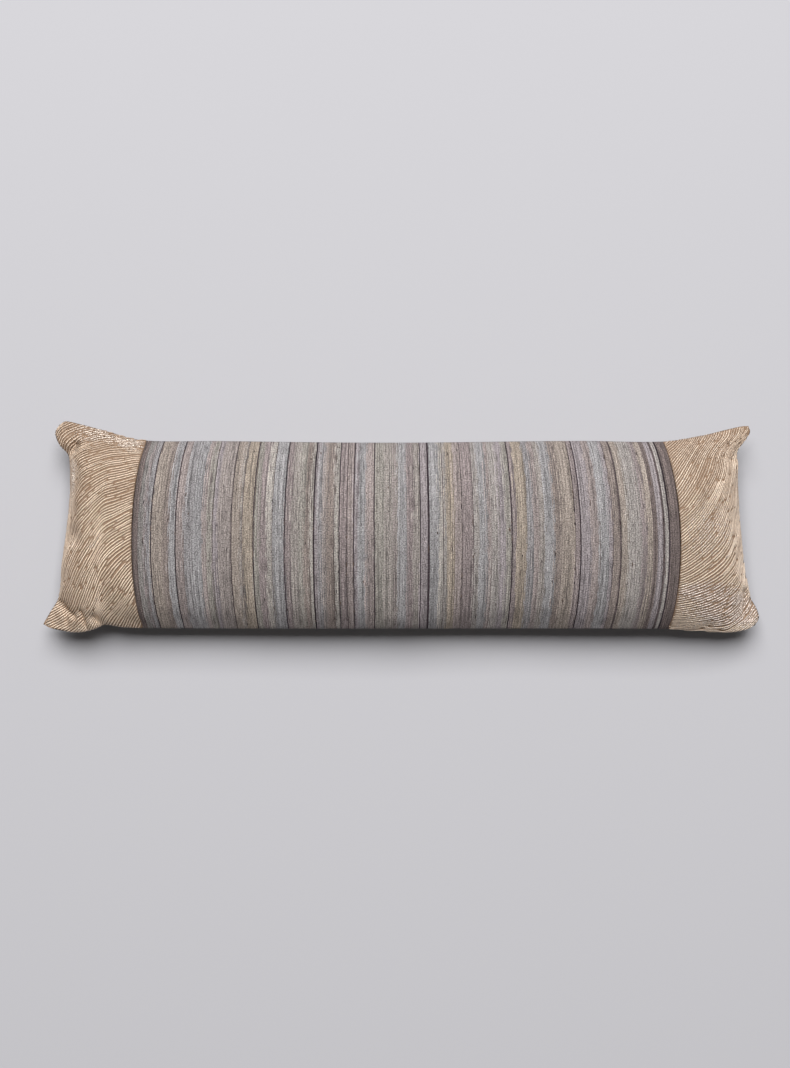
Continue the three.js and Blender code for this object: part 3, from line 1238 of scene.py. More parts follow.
@dataclass(frozen=True)
class StripeChart:
    """The band's stripes in order from its left seam: each one's width in millimetres and its tone."""

    stripes: tuple[tuple[float, Tone], ...] = (
        (9.5, Tone.EDGE), (9.5, Tone.SLATE), (3.5, Tone.MAUVE), (7, Tone.BLUE_GREY), (3, Tone.INK),
        (16.5, Tone.TAN), (8, Tone.BROWN), (2.5, Tone.PINK), (10, Tone.PALE_BLUE), (3, Tone.INK),
        (11.5, Tone.PINK), (15.5, Tone.BLUE_GREY), (15, Tone.PALE_BLUE), (7, Tone.PINK),
        (9, Tone.GREEN_GREY),
        (2, Tone.LINE), (7, Tone.LAVENDER), (21.5, Tone.TAUPE), (3, Tone.LINE), (11.5, Tone.TAN),
        (4, Tone.GREY_TAUPE), (2, Tone.LINE), (15.5, Tone.OCHRE), (3, Tone.INK), (8, Tone.GREEN_GREY),
        (11.5, Tone.MAUVE), (9, Tone.SILVER), (2, Tone.LINE), (17, Tone.PALE_BLUE), (4, Tone.INK),
        (8, Tone.MAUVE), (13, Tone.GREY_TAUPE), (9, Tone.GREEN_GREY), (9, Tone.BROWN), (4.5, Tone.SILVER),
        (4.5, Tone.INK), (5, Tone.LAVENDER), (7, Tone.BLUE_GREY), (6, Tone.TAUPE), (11.5, Tone.BROWN),
        (2, Tone.LINE), (6, Tone.SILVER), (3, Tone.INK), (10.5, Tone.MAUVE), (2, Tone.LINE),
        (8, Tone.PINK), (4, Tone.INK), (4, Tone.LAVENDER), (14.5, Tone.PALE_BLUE), (11.5, Tone.PINK),
        (3, Tone.INK), (15, Tone.GREEN_GREY), (17, Tone.GREY_TAUPE), (2, Tone.MAUVE), (3, Tone.GREY_TAUPE),
        (15, Tone.PALE_BLUE), (11, Tone.MAUVE), (9.5, Tone.GREY_TAUPE), (3.5, Tone.INK),
        (10, Tone.LAVENDER),
        (4, Tone.INK), (14.5, Tone.PALE_BLUE), (6.5, Tone.SILVER), (2, Tone.LINE), (4, Tone.PALE_GREY),
        (13.5, Tone.OCHRE), (11, Tone.PINK), (2, Tone.LINE), (16, Tone.MAUVE), (2, Tone.LINE),
        (8.5, Tone.PALE_GREY), (13, Tone.PALE_BLUE), (6.5, Tone.PINK), (13, Tone.PALE_GREY),
        (11.5, Tone.LAVENDER),
        (8, Tone.GREEN_GREY), (4, Tone.INK), (5, Tone.MAUVE), (16.5, Tone.OCHRE), (12.5, Tone.BLUE_GREY),
        (8, Tone.PINK), (10, Tone.GREY_TAUPE), (16, Tone.PALE_BLUE), (12, Tone.BROWN), (20.5, Tone.TAN),
        (2, Tone.LINE), (5, Tone.MAUVE), (5, Tone.INK), (14.5, Tone.LAVENDER), (13, Tone.PINK),
        (16.5, Tone.PALE_BLUE), (5.5, Tone.LAVENDER), (2, Tone.LINE), (9, Tone.BROWN), (5, Tone.LINE),
        (9.5, Tone.TAN), (2, Tone.SILVER), (21, Tone.PALE_GREY), (8, Tone.MAUVE), (9.5, Tone.TAN),
        (8, Tone.EDGE), (8, Tone.LAVENDER), (5.5, Tone.LINE), (4, Tone.PALE_GREY), (4, Tone.INK),
        (15, Tone.EDGE),
    )  # fmt: skip
    stops: int = 30
    line_share: float = 0.62

    def edges(self) -> np.ndarray:
        """Where each stripe starts and the last one ends, with the lines drawn in to their share.

        Returns:
            The places, in metres from the left seam.
        """
        widths = np.array([width for width, _ in self.stripes])
        edges = np.concatenate([[0], np.cumsum(widths)])
        drawn_in = widths * self.is_line() * (1 - self.line_share) / 2
        edges[:-1] += drawn_in
        edges[1:] -= drawn_in
        return edges * MM

    def is_line(self) -> np.ndarray:
        """Which stripes are dark lines."""
        return np.array([tone in (Tone.INK, Tone.LINE) for _, tone in self.stripes])

    def group(self) -> bpy.types.NodeTree:
        """Makes the node group that gives the stripe's colour at a place, in metres from the left seam.

        A ramp holds a few stripes at a time, because a ramp has room for 32 stops, and each later ramp
        takes over where its first stripe starts.

        Returns:
            The group.
        """
        group, bench = effect("stripe_chart", {"Place": "Float"}, {"Color": "Color"})
        source, result = bench.add("NodeGroupInput"), bench.add("NodeGroupOutput")
        edges = self.edges()
        color = None
        for first in range(0, len(self.stripes), self.stops):
            part = self.stripes[first : first + self.stops]
            low, high = edges[first], edges[first + len(part)]
            ramp = bench.add("ValToRGB", None, in0=bench.ranged(source.outputs[0], low, high, 0, 1))
            ramp.color_ramp.interpolation = "CONSTANT"
            elements = ramp.color_ramp.elements
            elements.remove(elements[1])
            for k, (_, tone) in enumerate(part):
                stop = elements[0] if k == 0 else elements.new((edges[first + k] - low) / (high - low))
                stop.color = linear(tone.value)
            past = bench.math("GREATER_THAN", source.outputs[0], float(low))
            color = ramp.outputs[0] if color is None else bench.mixed(past, color, ramp.outputs[0])
        bench.tree.links.new(color, result.inputs[0])
        return group


def yarn_group() -> bpy.types.NodeTree:
    """Makes the node group for hand-woven cloth with slubs.

    It works on a place in metres of cloth whose yarns run along V. Streak is noise drawn out along the
    yarns, Speckle is fine noise, Slub marks short thick stretches of yarn, and Height is the weave:
    warp and weft are half sine waves that pass over each other in turn, plus the slubs.

    Returns:
        The group.
    """
    outputs = {"Streak": "Float", "Speckle": "Float", "Slub": "Float", "Height": "Float"}
    group, bench = effect("slub_yarn", {"Place": "Vector", "Pitch": "Float"}, outputs)
    source, result = bench.add("NodeGroupInput"), bench.add("NodeGroupOutput")
    place, pitch = source.outputs[:2]

    def drawn_out(across: float, along: float, detail: float) -> bpy.types.NodeSocket:
        """Noise with grains of that many metres across and along the yarns."""
        scale = (1 / across, 1 / along, 1)
        scaled = bench.add("Mapping", {"vector_type": "POINT"}, Vector=place, Scale=scale)
        return bench.add("TexNoise", None, Vector=scaled.outputs[0], Scale=1.0, Detail=detail).outputs[0]

    threads = bench.math("MULTIPLY", drawn_out(0.0015, 0.19, 0.0), 0.6)
    streak = bench.math("ADD", threads, bench.math("MULTIPLY", drawn_out(0.0019, 0.021, 0.0), 0.4))
    speckle = drawn_out(0.0019, 0.0021, 0.0)
    slub = bench.ranged(drawn_out(0.0019, 0.011, 0.0), 0.71, 0.78, 0, 1)
    parts = bench.add("SeparateXYZ", None, Vector=place)
    across = bench.math("DIVIDE", parts.outputs[0], pitch)
    along = bench.math("DIVIDE", parts.outputs[1], pitch)
    cells = bench.math("ADD", bench.math("FLOOR", across), bench.math("FLOOR", along))
    over = bench.math("PINGPONG", cells, 1.0)
    warp = bench.math("ABSOLUTE", bench.math("SINE", bench.math("MULTIPLY", across, float(np.pi))))
    weft = bench.math("ABSOLUTE", bench.math("SINE", bench.math("MULTIPLY", along, float(np.pi))))
    height = bench.math("ADD", bench.math("MULTIPLY", warp, bench.math("ADD", over, 0.35)), weft)
    height = bench.math("ADD", height, bench.math("MULTIPLY", slub, 1.2))
    height = bench.math("ADD", height, speckle)
    for socket, value in zip(result.inputs, (streak, speckle, slub, height)):
        bench.tree.links.new(value, socket)
    return group


def cord_group() -> bpy.types.NodeTree:
    """Makes the node group for couched metallic cord.

    It works on metres along the cord and turns round it from its strand. Twist is the height of the metal
    strip wound round the core. Glint masks painted highlights, short bright specks from fine noise, and the
    third output masks painted shade specks beside them. Both are more where the piece's own mark for them
    is high.

    Returns:
        The group.
    """
    inputs = {"Along": "Float", "Turn": "Float", "Place": "Vector", "Mark": "Float"}
    group, bench = effect("couched_cord", inputs, {"Twist": "Float", "Glint": "Float", "Pit": "Float"})
    source, result = bench.add("NodeGroupInput"), bench.add("NodeGroupOutput")
    along, turn, place, mark = source.outputs[:4]
    wound = bench.math("ADD", bench.math("MULTIPLY", along, STRIP_TURNS), turn)
    twist = bench.math("ABSOLUTE", bench.math("SINE", bench.math("MULTIPLY", wound, float(np.pi))))
    fine = bench.add("TexNoise", None, Vector=place, Scale=420.0, Detail=1.0).outputs[0]
    # Painted highlights where the fine noise, raised by the glint mark, is high; painted shade specks where
    # it is low.
    raised = bench.math("ADD", fine, bench.math("MULTIPLY", mark, 0.26))
    glint = bench.ranged(raised, 0.66, 0.74, 0, 1)
    pit = bench.ranged(bench.math("SUBTRACT", fine, bench.math("MULTIPLY", mark, 0.2)), 0.3, 0.22, 0, 1)
    for socket, value in zip(result.inputs, (twist, glint, pit)):
        bench.tree.links.new(value, socket)
    return group


@dataclass(frozen=True)
class CordTones:
    """The tones of a couched cord: its darker and lighter yarn, its painted highlights and its painted dark
    specks of shade.
    """

    low: tuple[float, float, float]
    high: tuple[float, float, float]
    # The tone of the painted highlights.
    glint: tuple[float, float, float]
    # The tone of the painted shade specks.
    pit: tuple[float, float, float]


class Finishes:
    """Makes the cushion's materials, and the node groups that they share."""

    def __init__(self, chart: StripeChart) -> None:
        """Makes the shared node groups."""
        self.stripes, self.yarn, self.cord = chart.group(), yarn_group(), cord_group()

    def _shader(
        self, name: str, **constants: object
    ) -> tuple[bpy.types.Material, NodeBench, bpy.types.Node]:
        """Makes a material with one Principled shader.

        Args:
            name: the material's name.
            constants: values of the shader's own inputs, with underscores for the spaces in their
                names.

        Returns:
            The material, a bench on its nodes, and the shader.
        """
        material = bpy.data.materials.new(name)
        material.use_nodes = True
        bench = NodeBench(material.node_tree)
        shader = material.node_tree.nodes["Principled BSDF"]
        for socket, value in constants.items():
            shader.inputs[socket.replace("_", " ")].default_value = value
        return material, bench, shader

    @staticmethod
    def _join(
        bench: NodeBench, shader: bpy.types.Node, color: object, height: object, depth: float
    ) -> None:
        """Joins a colour and a bump to a shader.

        Args:
            bench: the bench on the material's nodes.
            shader: the shader.
            color: the colour's socket.
            height: the height's socket.
            depth: the bump's depth, in metres.
        """
        bump = bench.add("Bump", None, Strength=1.0, Distance=depth, Height=height)
        bench.tree.links.new(color, shader.inputs["Base Color"])
        bench.tree.links.new(bump.outputs[0], shader.inputs["Normal"])

    def striped_cloth(self, left_seam: float) -> bpy.types.Material:
        """The band's matt striped slub cloth.

        Args:
            left_seam: the left seam's place in the UV map, in metres.

        Returns:
            The material.
        """
        material, bench, shader = self._shader("striped_cloth", Roughness=0.92, Specular_IOR_Level=0.18)
        place = bench.add("UVMap", {"uv_map": "cloth"}).outputs[0]
        yarn = bench.add("Group", {"node_tree": self.yarn}, Place=place, Pitch=0.0015)
        wander = bench.add("TexNoise", None, Vector=place, Scale=62.0, Detail=2.0).outputs[0]
        across = bench.add("SeparateXYZ", None, Vector=place).outputs[0]
        moved = bench.math("ADD", across, bench.ranged(wander, 0, 1, -0.0008, 0.0008))
        from_seam = bench.math("SUBTRACT", moved, left_seam)
        stray = bench.ranged(yarn.outputs["Streak"], 0.3, 0.7, -0.0045, 0.0045)
        strayed = bench.math("ADD", from_seam, stray)
        plain = bench.add("Group", {"node_tree": self.stripes}, Place=from_seam).outputs[0]
        heathered = bench.add("Group", {"node_tree": self.stripes}, Place=strayed).outputs[0]
        greys = [bench.add("RGBToBW", None, Color=color).outputs[0] for color in (plain, heathered)]
        darker = bench.math("MINIMUM", *greys)
        stripe = bench.mixed(bench.math("LESS_THAN", darker, 0.19), heathered, plain)
        streak = bench.add("CombineXYZ")
        shade = bench.ranged(yarn.outputs["Streak"], 0.3, 0.7, 0.5, 1.5)
        grain = bench.ranged(yarn.outputs["Speckle"], 0.25, 0.75, 0.56, 1.44)
        both = bench.math("MULTIPLY", shade, grain)
        for socket in streak.inputs:
            bench.tree.links.new(both, socket)
        toned = bench.mixed(1.0, stripe, streak.outputs[0], "MULTIPLY")
        slub = bench.math("MULTIPLY", yarn.outputs["Slub"], 0.6)
        slubbed = bench.mixed(slub, toned, linear((88, 76, 78)))
        self._join(bench, shader, slubbed, yarn.outputs["Height"], 0.0005)
        return material

    def slub_yarn(self) -> bpy.types.Material:
        """The dark matt yarn of the slubs.

        Returns:
            The material.
        """
        material, bench, shader = self._shader("slub_yarn", Roughness=0.95, Specular_IOR_Level=0.15)
        noise = bench.add("TexNoise", None, Vector=bench.add("TexCoord").outputs["Object"], Scale=60.0)
        tone = bench.ranged(noise.outputs[0], 0.4, 0.6, 0, 1)
        color = bench.mixed(tone, linear((52, 44, 48)), linear((104, 88, 80)))
        fine = bench.add("TexNoise", None, Vector=bench.add("TexCoord").outputs["Object"], Scale=900.0)
        self._join(bench, shader, color, fine.outputs[0], 0.0003)
        return material

    def panel_cloth(self) -> bpy.types.Material:
        """The darker champagne cloth under the cords.

        Returns:
            The material.
        """
        material, bench, shader = self._shader(
            "panel_cloth", Roughness=0.6, Metallic=0.15, Specular_IOR_Level=0.35
        )
        place = bench.add("UVMap", {"uv_map": "cloth"}).outputs[0]
        yarn = bench.add("Group", {"node_tree": self.yarn}, Place=place, Pitch=0.0011)
        tone = bench.ranged(yarn.outputs["Streak"], 0.3, 0.7, 0, 1)
        color = bench.mixed(tone, linear((162, 132, 107)), linear((182, 154, 130)))
        self._join(bench, shader, color, yarn.outputs["Height"], 0.0003)
        return material

    def metallic_cord(self, name: str, tones: CordTones) -> bpy.types.Material:
        """Couched metallic cord.

        Args:
            name: the material's name.
            tones: its tones.

        Returns:
            The material.
        """
        material, bench, shader = self._shader(name, Roughness=0.34, Metallic=0.4, Specular_IOR_Level=0.5)
        uv = bench.add("SeparateXYZ", None, Vector=bench.add("UVMap", {"uv_map": "cloth"}).outputs[0])
        place = bench.add("TexCoord").outputs["Object"]
        mark = bench.add("Attribute", {"attribute_name": "marks"}).outputs[0]
        marks = bench.add("SeparateColor", None, in0=mark)
        inputs = {"Along": uv.outputs[0], "Turn": uv.outputs[1], "Place": place, "Mark": marks.outputs[1]}
        cord = bench.add("Group", {"node_tree": self.cord}, **inputs)
        # The cord's colour runs from its low tone to its high one by the shade mark. That mark holds the
        # cord's own tone and wear, together with painted shade at its sides and a painted sheen towards the
        # panel's lower edge.
        wear_and_painted_shade = bench.mixed(marks.outputs[0], linear(tones.low), linear(tones.high))
        # Painted shade: dark specks of the last tone where the cord group's shade speck mask is high.
        speck_shaded = bench.mixed(bench.math("MULTIPLY", cord.outputs["Pit"], 0.7), wear_and_painted_shade, linear(tones.pit))
        # Painted highlights: the glint tone is mixed in where the glint mask is high.
        bright = bench.mixed(cord.outputs["Glint"], speck_shaded, linear(tones.glint))
        crushed = bench.math("MULTIPLY", cord.outputs["Glint"], 1.5)
        self._join(bench, shader, bright, bench.math("ADD", cord.outputs["Twist"], crushed), 0.0004)
        rough = bench.ranged(cord.outputs["Glint"], 0, 1, 0.34, 0.22)
        bench.tree.links.new(rough, shader.inputs["Roughness"])
        return material

    def back_cloth(self) -> bpy.types.Material:
        """The back's plain matt linen weave.

        Returns:
            The material.
        """
        material, bench, shader = self._shader("back_cloth", Roughness=0.9, Specular_IOR_Level=0.2)
        place = bench.add("UVMap", {"uv_map": "cloth"}).outputs[0]
        yarn = bench.add("Group", {"node_tree": self.yarn}, Place=place, Pitch=0.0013)
        tone = bench.ranged(yarn.outputs["Streak"], 0.3, 0.7, 0, 1)
        color = bench.mixed(tone, linear((134, 124, 113)), linear((153, 143, 131)))
        self._join(bench, shader, color, yarn.outputs["Height"], 0.0005)
        return material


@dataclass(frozen=True)
class StripedBand:
    """The front's middle panel: one closed sheet of striped slub cloth."""

    thickness: float = 2.0
    spacing: float = 2.6
    rows: int = 134

    def build(self, cover: Cover, finish: bpy.types.Material, slubs: bpy.types.Object) -> bpy.types.Object:
        """Builds the band in its place.

        Args:
            cover: the finished cover.
            finish: its material.
            slubs: the slubs that lie on it; not used.

        Returns:
            The band. Its UV map "cloth" holds X of the column's middle and v, in metres.
        """
        low, high = cover.form.left_seam.cut, cover.form.right_seam.cut
        u = np.linspace(low, high, int((high - low) / self.spacing) + 1)
        outer = ClothPatch.cut(cover, Face.FRONT, u, self.rows)
        middle = outer.points[:, self.rows // 2, 0]
        band = closed_sheet("striped_band", outer, outer.raised(-self.thickness), middle)
        band.data.materials.append(finish)
        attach(band, "root")
        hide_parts("centre_band")
        return band


@dataclass(frozen=True)
class BandSlubs:
    """Short thick stretches of dark yarn that lie along the band's lines."""

    yarn: YarnSection = YarnSection(1.9, 0.9, 0.25, 0.0, sides=6)
    columns: int = 450
    rows: int = 200
    count: int = 150
    shortest: float = 4.0
    longest: float = 15.0
    step: float = 1.3
    loose_share: float = 0.35
    seed: int = 21

    def build(self, cover: Cover, chart: StripeChart, finish: bpy.types.Material) -> bpy.types.Object:
        """Builds the slubs on the band.

        Each slub lies along v. Most lie on one of the chart's lines and the others anywhere. Its
        thickness follows a half sine wave from end to end.

        Args:
            cover: the finished cover.
            chart: the band's stripes.
            finish: the slubs' material.

        Returns:
            The slubs, as one piece.
        """
        low, high = cover.form.left_seam.cut, cover.form.right_seam.cut
        patch = ClothPatch.cut(cover, Face.FRONT, np.linspace(low, high, self.columns), self.rows)
        middle = patch.points[:, len(patch.v) // 2, 0]
        edges, draws = chart.edges() / MM + middle[0], np.random.default_rng(self.seed)
        lines = ((edges[:-1] + edges[1:]) / 2)[chart.is_line()]
        loose = draws.uniform(middle[0] + 8, middle[-1] - 18, self.count)
        is_loose = draws.uniform(0, 1, self.count) < self.loose_share
        x = np.where(is_loose, loose, draws.choice(lines, self.count))
        v = draws.uniform(-0.46, 0.46, self.count) * cover.form.cut_height
        length = self.shortest + (self.longest - self.shortest) * draws.uniform(0, 1, self.count) ** 2
        steps = np.ceil(length / self.step).astype(int) + 2
        owners = np.repeat(np.arange(self.count), steps)
        first = np.repeat(np.cumsum(steps) - steps, steps)
        share = (np.arange(len(owners)) - first) / np.repeat(steps - 1, steps)
        u = np.interp(x, middle, patch.u)[owners] + 0.3 * np.sin(share * 7 + owners)
        points = np.stack([u, v[owners] + (share - 0.5) * length[owners]], axis=1)
        size = (0.25 + 0.75 * np.sin(share * np.pi)) * draws.uniform(0.55, 1.15, self.count)[owners]
        slubs = self.yarn.swept("band_slubs", patch, (points, owners), size)
        slubs.data.materials.append(finish)
        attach(slubs, "root")
        return slubs


@dataclass(frozen=True)
class GlintPatch:
    """A part of a panel where the cords get more painted highlights: its middle, reaches and strength."""

    u: float
    v: float
    reach_u: float
    reach_v: float
    strength: float = 1.0

    def at(self, u: np.ndarray, v: np.ndarray) -> np.ndarray:
        """How strong it is at places: two bells of the distances from its middle."""
        return self.strength * bell((u - self.u) / self.reach_u, 1) * bell((v - self.v) / self.reach_v, 1)


@dataclass(frozen=True)
class CordedPanel:
    """One end panel of the front: a closed sheet with metallic cords couched over all of it."""

    name: str
    node: str
    side: int
    layout: CordLayout
    yarn: YarnSection
    # Patches where the cords get painted highlights.
    glint_patches: tuple[GlintPatch, ...] = ()
    # How much lighter the cords are painted towards the panel's lower edge: a painted sheen.
    lift: float = 0.2
    evenness: float = 0.58
    thickness: float = 2.0
    spacing: float = 3.0
    rows: int = 119
    cord_spacing: float = 1.2
    cord_rows: int = 298
    taper: float = 5.0
    end_size: float = 0.5
    shade_size: float = 34.0
    shade_change: float = 0.12
    wear_size: float = 3.4
    wear_change: float = 0.16

    def build(
        self, cover: Cover, cloth: bpy.types.Material, cord: bpy.types.Material
    ) -> tuple[bpy.types.Object, bpy.types.Object]:
        """Builds the panel and its cords in their place.

        Args:
            cover: the finished cover.
            cloth: the material of the panel.
            cord: the material of its cords.

        Returns:
            The panel and the cords.
        """
        half = cover.form.cut_length / 2
        low, high = -half, cover.form.left_seam.cut
        if self.side > 0:
            low, high = cover.form.right_seam.cut, half
        u = np.linspace(low, high, int((high - low) / self.spacing) + 1)
        outer = ClothPatch.cut(cover, Face.FRONT, u, self.rows)
        panel = closed_sheet(self.name, outer, outer.raised(-self.thickness), u)
        panel.data.materials.append(cloth)
        cords = self._cords(cover, np.linspace(low, high, int((high - low) / self.cord_spacing) + 1), cord)
        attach(panel, "root")
        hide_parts(self.node)
        return panel, cords

    def _cords(self, cover: Cover, u: np.ndarray, finish: bpy.types.Material) -> bpy.types.Object:
        """The panel's cords, as one piece.

        Their shade is each cord's own, changed by broad noise and by wear, with a painted sheen that makes
        it lighter towards the panel's lower edge and painted shade that darkens each cord's sides and
        underside.

        Args:
            cover: the finished cover.
            u: the columns' places over the panel.
            finish: their material.

        Returns:
            The cords.
        """
        patch = ClothPatch.cut(cover, Face.FRONT, u, self.cord_rows)
        points, owners = self.layout.runs(u[0], u[-1], cover.form.cut_height)
        grown = np.clip(self._from_ends(owners) * self.layout.step / self.taper, 0, 1)
        size = blend(self.end_size, 1.0, grown)
        cords = self.yarn.swept(self.name + "_cords", patch, (points, owners), size)
        middle = (u[0] + u[-1]) / 2
        own = np.random.default_rng(self.layout.seed).uniform(0, 1, owners[-1] + 1)[owners]
        slow = SoftNoise(self.layout.seed + 3).at(*(points.T / self.shade_size))
        wear_and_painted_shade = SoftNoise(self.layout.seed + 4).at(*(points.T / self.wear_size))
        # Painted sheen: the cords' shade rises towards the panel's lower edge.
        lower = self.lift * points[:, 1] / (-cover.form.cut_height / 2)
        even = self.evenness + (1 - self.evenness) * own**2
        shade = np.clip(even + self.shade_change * slow + self.wear_change * wear_and_painted_shade + lower, 0, 1)
        # Painted highlights: the glint patches give each point its glint mark.
        glint = sum(bright.at(points[:, 0] - middle, points[:, 1]) for bright in self.glint_patches)
        # Painted shade: each cord's colour is darker at its sides and underside than at its top, down to a
        # quarter of its shade.
        shade = shade[:, None] * blend(0.25, 1.0, np.clip(0.35 + self.yarn.tops(), 0, 1))[None, :]
        set_marks(cords.data, shade.ravel(), np.repeat(np.clip(glint, 0, 1), self.yarn.sides))
        cords.data.materials.append(finish)
        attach(cords, "root")
        return cords

    @staticmethod
    def _from_ends(owners: np.ndarray) -> np.ndarray:
        """How many points each one is from the nearer end of its cord.

        Args:
            owners: the number of the cord that each point belongs to.

        Returns:
            The counts.
        """
        first, counts = np.unique(owners, return_index=True, return_counts=True)[1:]
        order = np.arange(len(owners)) - np.repeat(first, counts)
        return np.minimum(order, np.repeat(counts, counts) - 1 - order)


@dataclass(frozen=True)
class FilledBody:
    """The plain back with the filling behind the front panels, as one padded piece."""

    spacing: float = 4.2
    rows: int = 99
    behind_front: float = 3.0
    fill: float = 0.78

    def build(self, cover: Cover, finish: bpy.types.Material) -> bpy.types.Object:
        """Builds the body in its place.

        Args:
            cover: the finished cover.
            finish: the back cloth's material.

        Returns:
            The body.
        """
        half = cover.form.cut_length / 2
        u = np.linspace(-half, half, int(2 * half / self.spacing) + 1)
        front = ClothPatch.cut(cover, Face.FRONT, u, self.rows).raised(-self.behind_front)
        back = ClothPatch.cut(cover, Face.BACK, u, self.rows)
        shape = front.points.shape[:2]
        front_ids = np.arange(shape[0] * shape[1]).reshape(shape)
        inner = np.zeros(shape, bool)
        inner[1:-1, 1:-1] = True
        back_ids = front_ids.copy()
        back_ids[inner] = front_ids.size + np.arange(inner.sum())
        points = np.concatenate([front.points.reshape(-1, 3), back.points[inner]])
        points[: front_ids.size][~inner.ravel(), 2] -= 0.3
        quads = np.concatenate([grid_quads(front_ids), grid_quads(back_ids)[:, ::-1]])
        body = mesh_object("filled_body", points, quads)
        cloth = np.stack(np.meshgrid(u, front.v, indexing="ij"), axis=-1)
        set_uv(body.data, np.concatenate([cloth.reshape(-1, 2), cloth[inner]]) * MM)
        body.data.materials.append(finish)
        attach(body, "root")
        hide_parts("filled_back")
        return body


@dataclass(frozen=True)
class Stage:
    """The pale floor, the soft light and the camera."""

    floor_tone: tuple[float, float, float] = (190, 189, 193)
    floor_size: float = 30.0
    camera_at: tuple[float, float, float] = (-0.0092, -0.0125, 3.058)
    lens: float = 60.57
    key_at: tuple[float, float, float] = (-0.2, 5.6, 9.1)
    key_size: float = 7.5
    key_watts: float = 1700.0
    sky_tone: tuple[float, float, float] = (252, 250, 248)
    sky_strength: float = 0.09

    def build(self) -> None:
        """Builds the stage."""
        half = self.floor_size / 2 / MM
        corners = np.array([[-half, -half, 0], [half, -half, 0], [half, half, 0], [-half, half, 0]])
        floor = mesh_object("floor", corners, np.array([[0, 1, 2, 3]]))
        material = bpy.data.materials.new("floor")
        material.use_nodes = True
        shader = material.node_tree.nodes["Principled BSDF"]
        shader.inputs["Base Color"].default_value = linear(self.floor_tone)
        shader.inputs["Roughness"].default_value = 0.9
        floor.data.materials.append(material)
        self._light("key", self.key_at, self.key_size, self.key_watts)
        world = bpy.data.worlds.new("sky")
        world.use_nodes = True
        background = world.node_tree.nodes["Background"]
        background.inputs[0].default_value = linear(self.sky_tone)
        background.inputs[1].default_value = self.sky_strength
        scene = bpy.context.scene
        scene.world = world
        scene.view_settings.view_transform = "Standard"
        camera = bpy.data.objects.new("camera", bpy.data.cameras.new("camera"))
        camera.data.sensor_width, camera.data.lens = 36.0, self.lens
        camera.location = self.camera_at
        scene.collection.objects.link(camera)
        scene.camera = camera

    @staticmethod
    def _light(name: str, at: tuple[float, float, float], size: float, watts: float) -> None:
        """Adds an area light that faces the middle of the cushion.

        Args:
            name: its name.
            at: its place, in metres.
            size: the length of its sides.
            watts: its power.
        """
        light = bpy.data.lights.new(name, "AREA")
        light.energy, light.size = watts, size
        lamp = bpy.data.objects.new(name, light)
        lamp.location = at
        lamp.rotation_euler = (Vector((0, 0, 0.06)) - Vector(at)).to_track_quat("-Z", "Y").to_euler()
        bpy.context.scene.collection.objects.link(lamp)


LEFT_CORDS = CordLayout(
    headings=(
        Heading(70, 150, 6), Heading(-20, 150, 26), Heading(-80, 160, 45), Heading(70, 50, 24),
        Heading(-10, 60, 40), Heading(-80, 40, 68), Heading(70, -60, 40), Heading(0, -50, 53),
        Heading(-75, -70, 70), Heading(70, -160, 68), Heading(0, -150, 60), Heading(-75, -165, 46),
    ),
    pitch=4.1,
    seed=5,
)  # fmt: skip
RIGHT_CORDS = CordLayout(
    headings=(
        Heading(-65, 160, 40), Heading(0, 165, 66), Heading(65, 165, 62), Heading(-60, 70, 38),
        Heading(20, 80, 54), Heading(65, 60, 66), Heading(-60, -10, 36), Heading(15, -20, 52),
        Heading(65, -40, 64), Heading(-60, -90, 8), Heading(20, -90, 28), Heading(-50, -160, -4),
        Heading(20, -150, 12), Heading(68, -120, 56),
    ),
    pitch=4.0,
    seed=15,
)  # fmt: skip
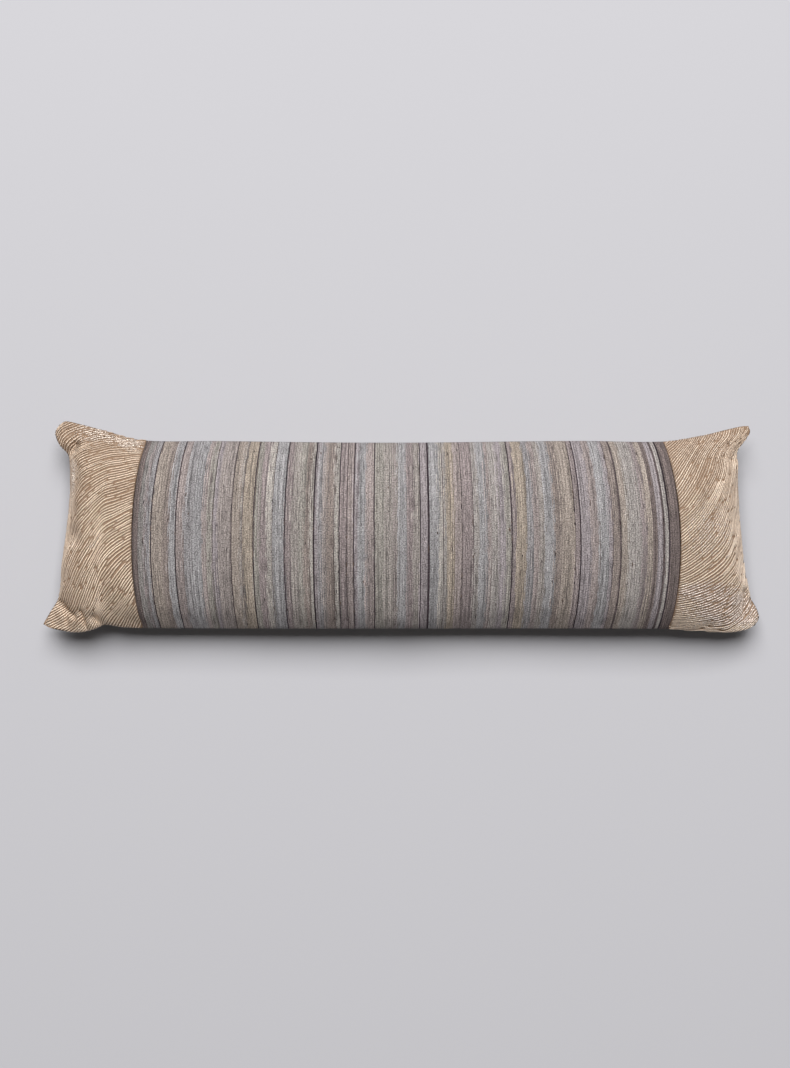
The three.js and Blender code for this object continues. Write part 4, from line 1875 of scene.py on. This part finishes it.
# Patches of painted highlights on each panel: middle, reaches in millimetres and strength.
LEFT_GLINT_PATCHES = (
    GlintPatch(-14, 164, 40, 15, 1.4),
    GlintPatch(55, 160, 30, 14, 1.4),
    GlintPatch(-60, 75, 10, 30, 1.2),
    GlintPatch(10, -20, 14, 12, 0.6),
)
RIGHT_GLINT_PATCHES = (
    GlintPatch(-25, 0, 46, 50, 0.7),
    GlintPatch(-35, -95, 45, 14, 1.5),
    GlintPatch(10, -130, 60, 34, 1.3),
    GlintPatch(60, -150, 24, 20, 1.4),
)
LEFT_YARN = YarnSection(width=2.7, height=1.9, sunk=0.3, twist=0.1, sides=6)
RIGHT_YARN = YarnSection(width=2.6, height=2.1, sunk=0.3, twist=0.1, sides=6)
# Each finish's last two tones are painted: a bright highlight and dark specks of shade.
LEFT_TONES = CordTones(low=(166, 136, 110), high=(252, 230, 207), glint=(255, 238, 222), pit=(126, 98, 76))
RIGHT_TONES = CordTones(low=(142, 110, 85), high=(255, 235, 213), glint=(255, 238, 226), pit=(98, 72, 54))


def write_size() -> None:
    """Updates the view layer.
    """
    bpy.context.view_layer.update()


def main() -> None:
    """Builds the cushion over the frame, and its stage."""
    logging.basicConfig(level=logging.INFO, format="%(message)s")
    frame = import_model()
    write_size()
    log.info("frame loaded: %d nodes", len(frame) if hasattr(frame, "__len__") else 0)
    form = CoverForm()
    cover = Cover(form, ClothSettling().run(form))
    chart = StripeChart()
    finishes = Finishes(chart)
    body = FilledBody().build(cover, finishes.back_cloth())
    log.info("%s: %d faces", body.name, len(body.data.polygons))
    slubs = BandSlubs().build(cover, chart, finishes.slub_yarn())
    log.info("%s: %d faces", slubs.name, len(slubs.data.polygons))
    band = StripedBand().build(cover, finishes.striped_cloth(BAND_START), slubs)
    log.info("%s: %d faces", band.name, len(band.data.polygons))
    panel_cloth = finishes.panel_cloth()
    left_cord = finishes.metallic_cord("left_cord", LEFT_TONES)
    right_cord = finishes.metallic_cord("right_cord", RIGHT_TONES)
    left = CordedPanel("left_panel", "left_end_panel", -1, LEFT_CORDS, LEFT_YARN, LEFT_GLINT_PATCHES)
    right = CordedPanel(
        "right_panel", "right_end_panel", 1, RIGHT_CORDS, RIGHT_YARN, RIGHT_GLINT_PATCHES, evenness=0.54
    )
    for panel, finish in ((left, left_cord), (right, right_cord)):
        for piece in panel.build(cover, panel_cloth, finish):
            log.info("%s: %d faces", piece.name, len(piece.data.polygons))
    Stage().build()
    write_size()


if __name__ == "__main__":
    main()
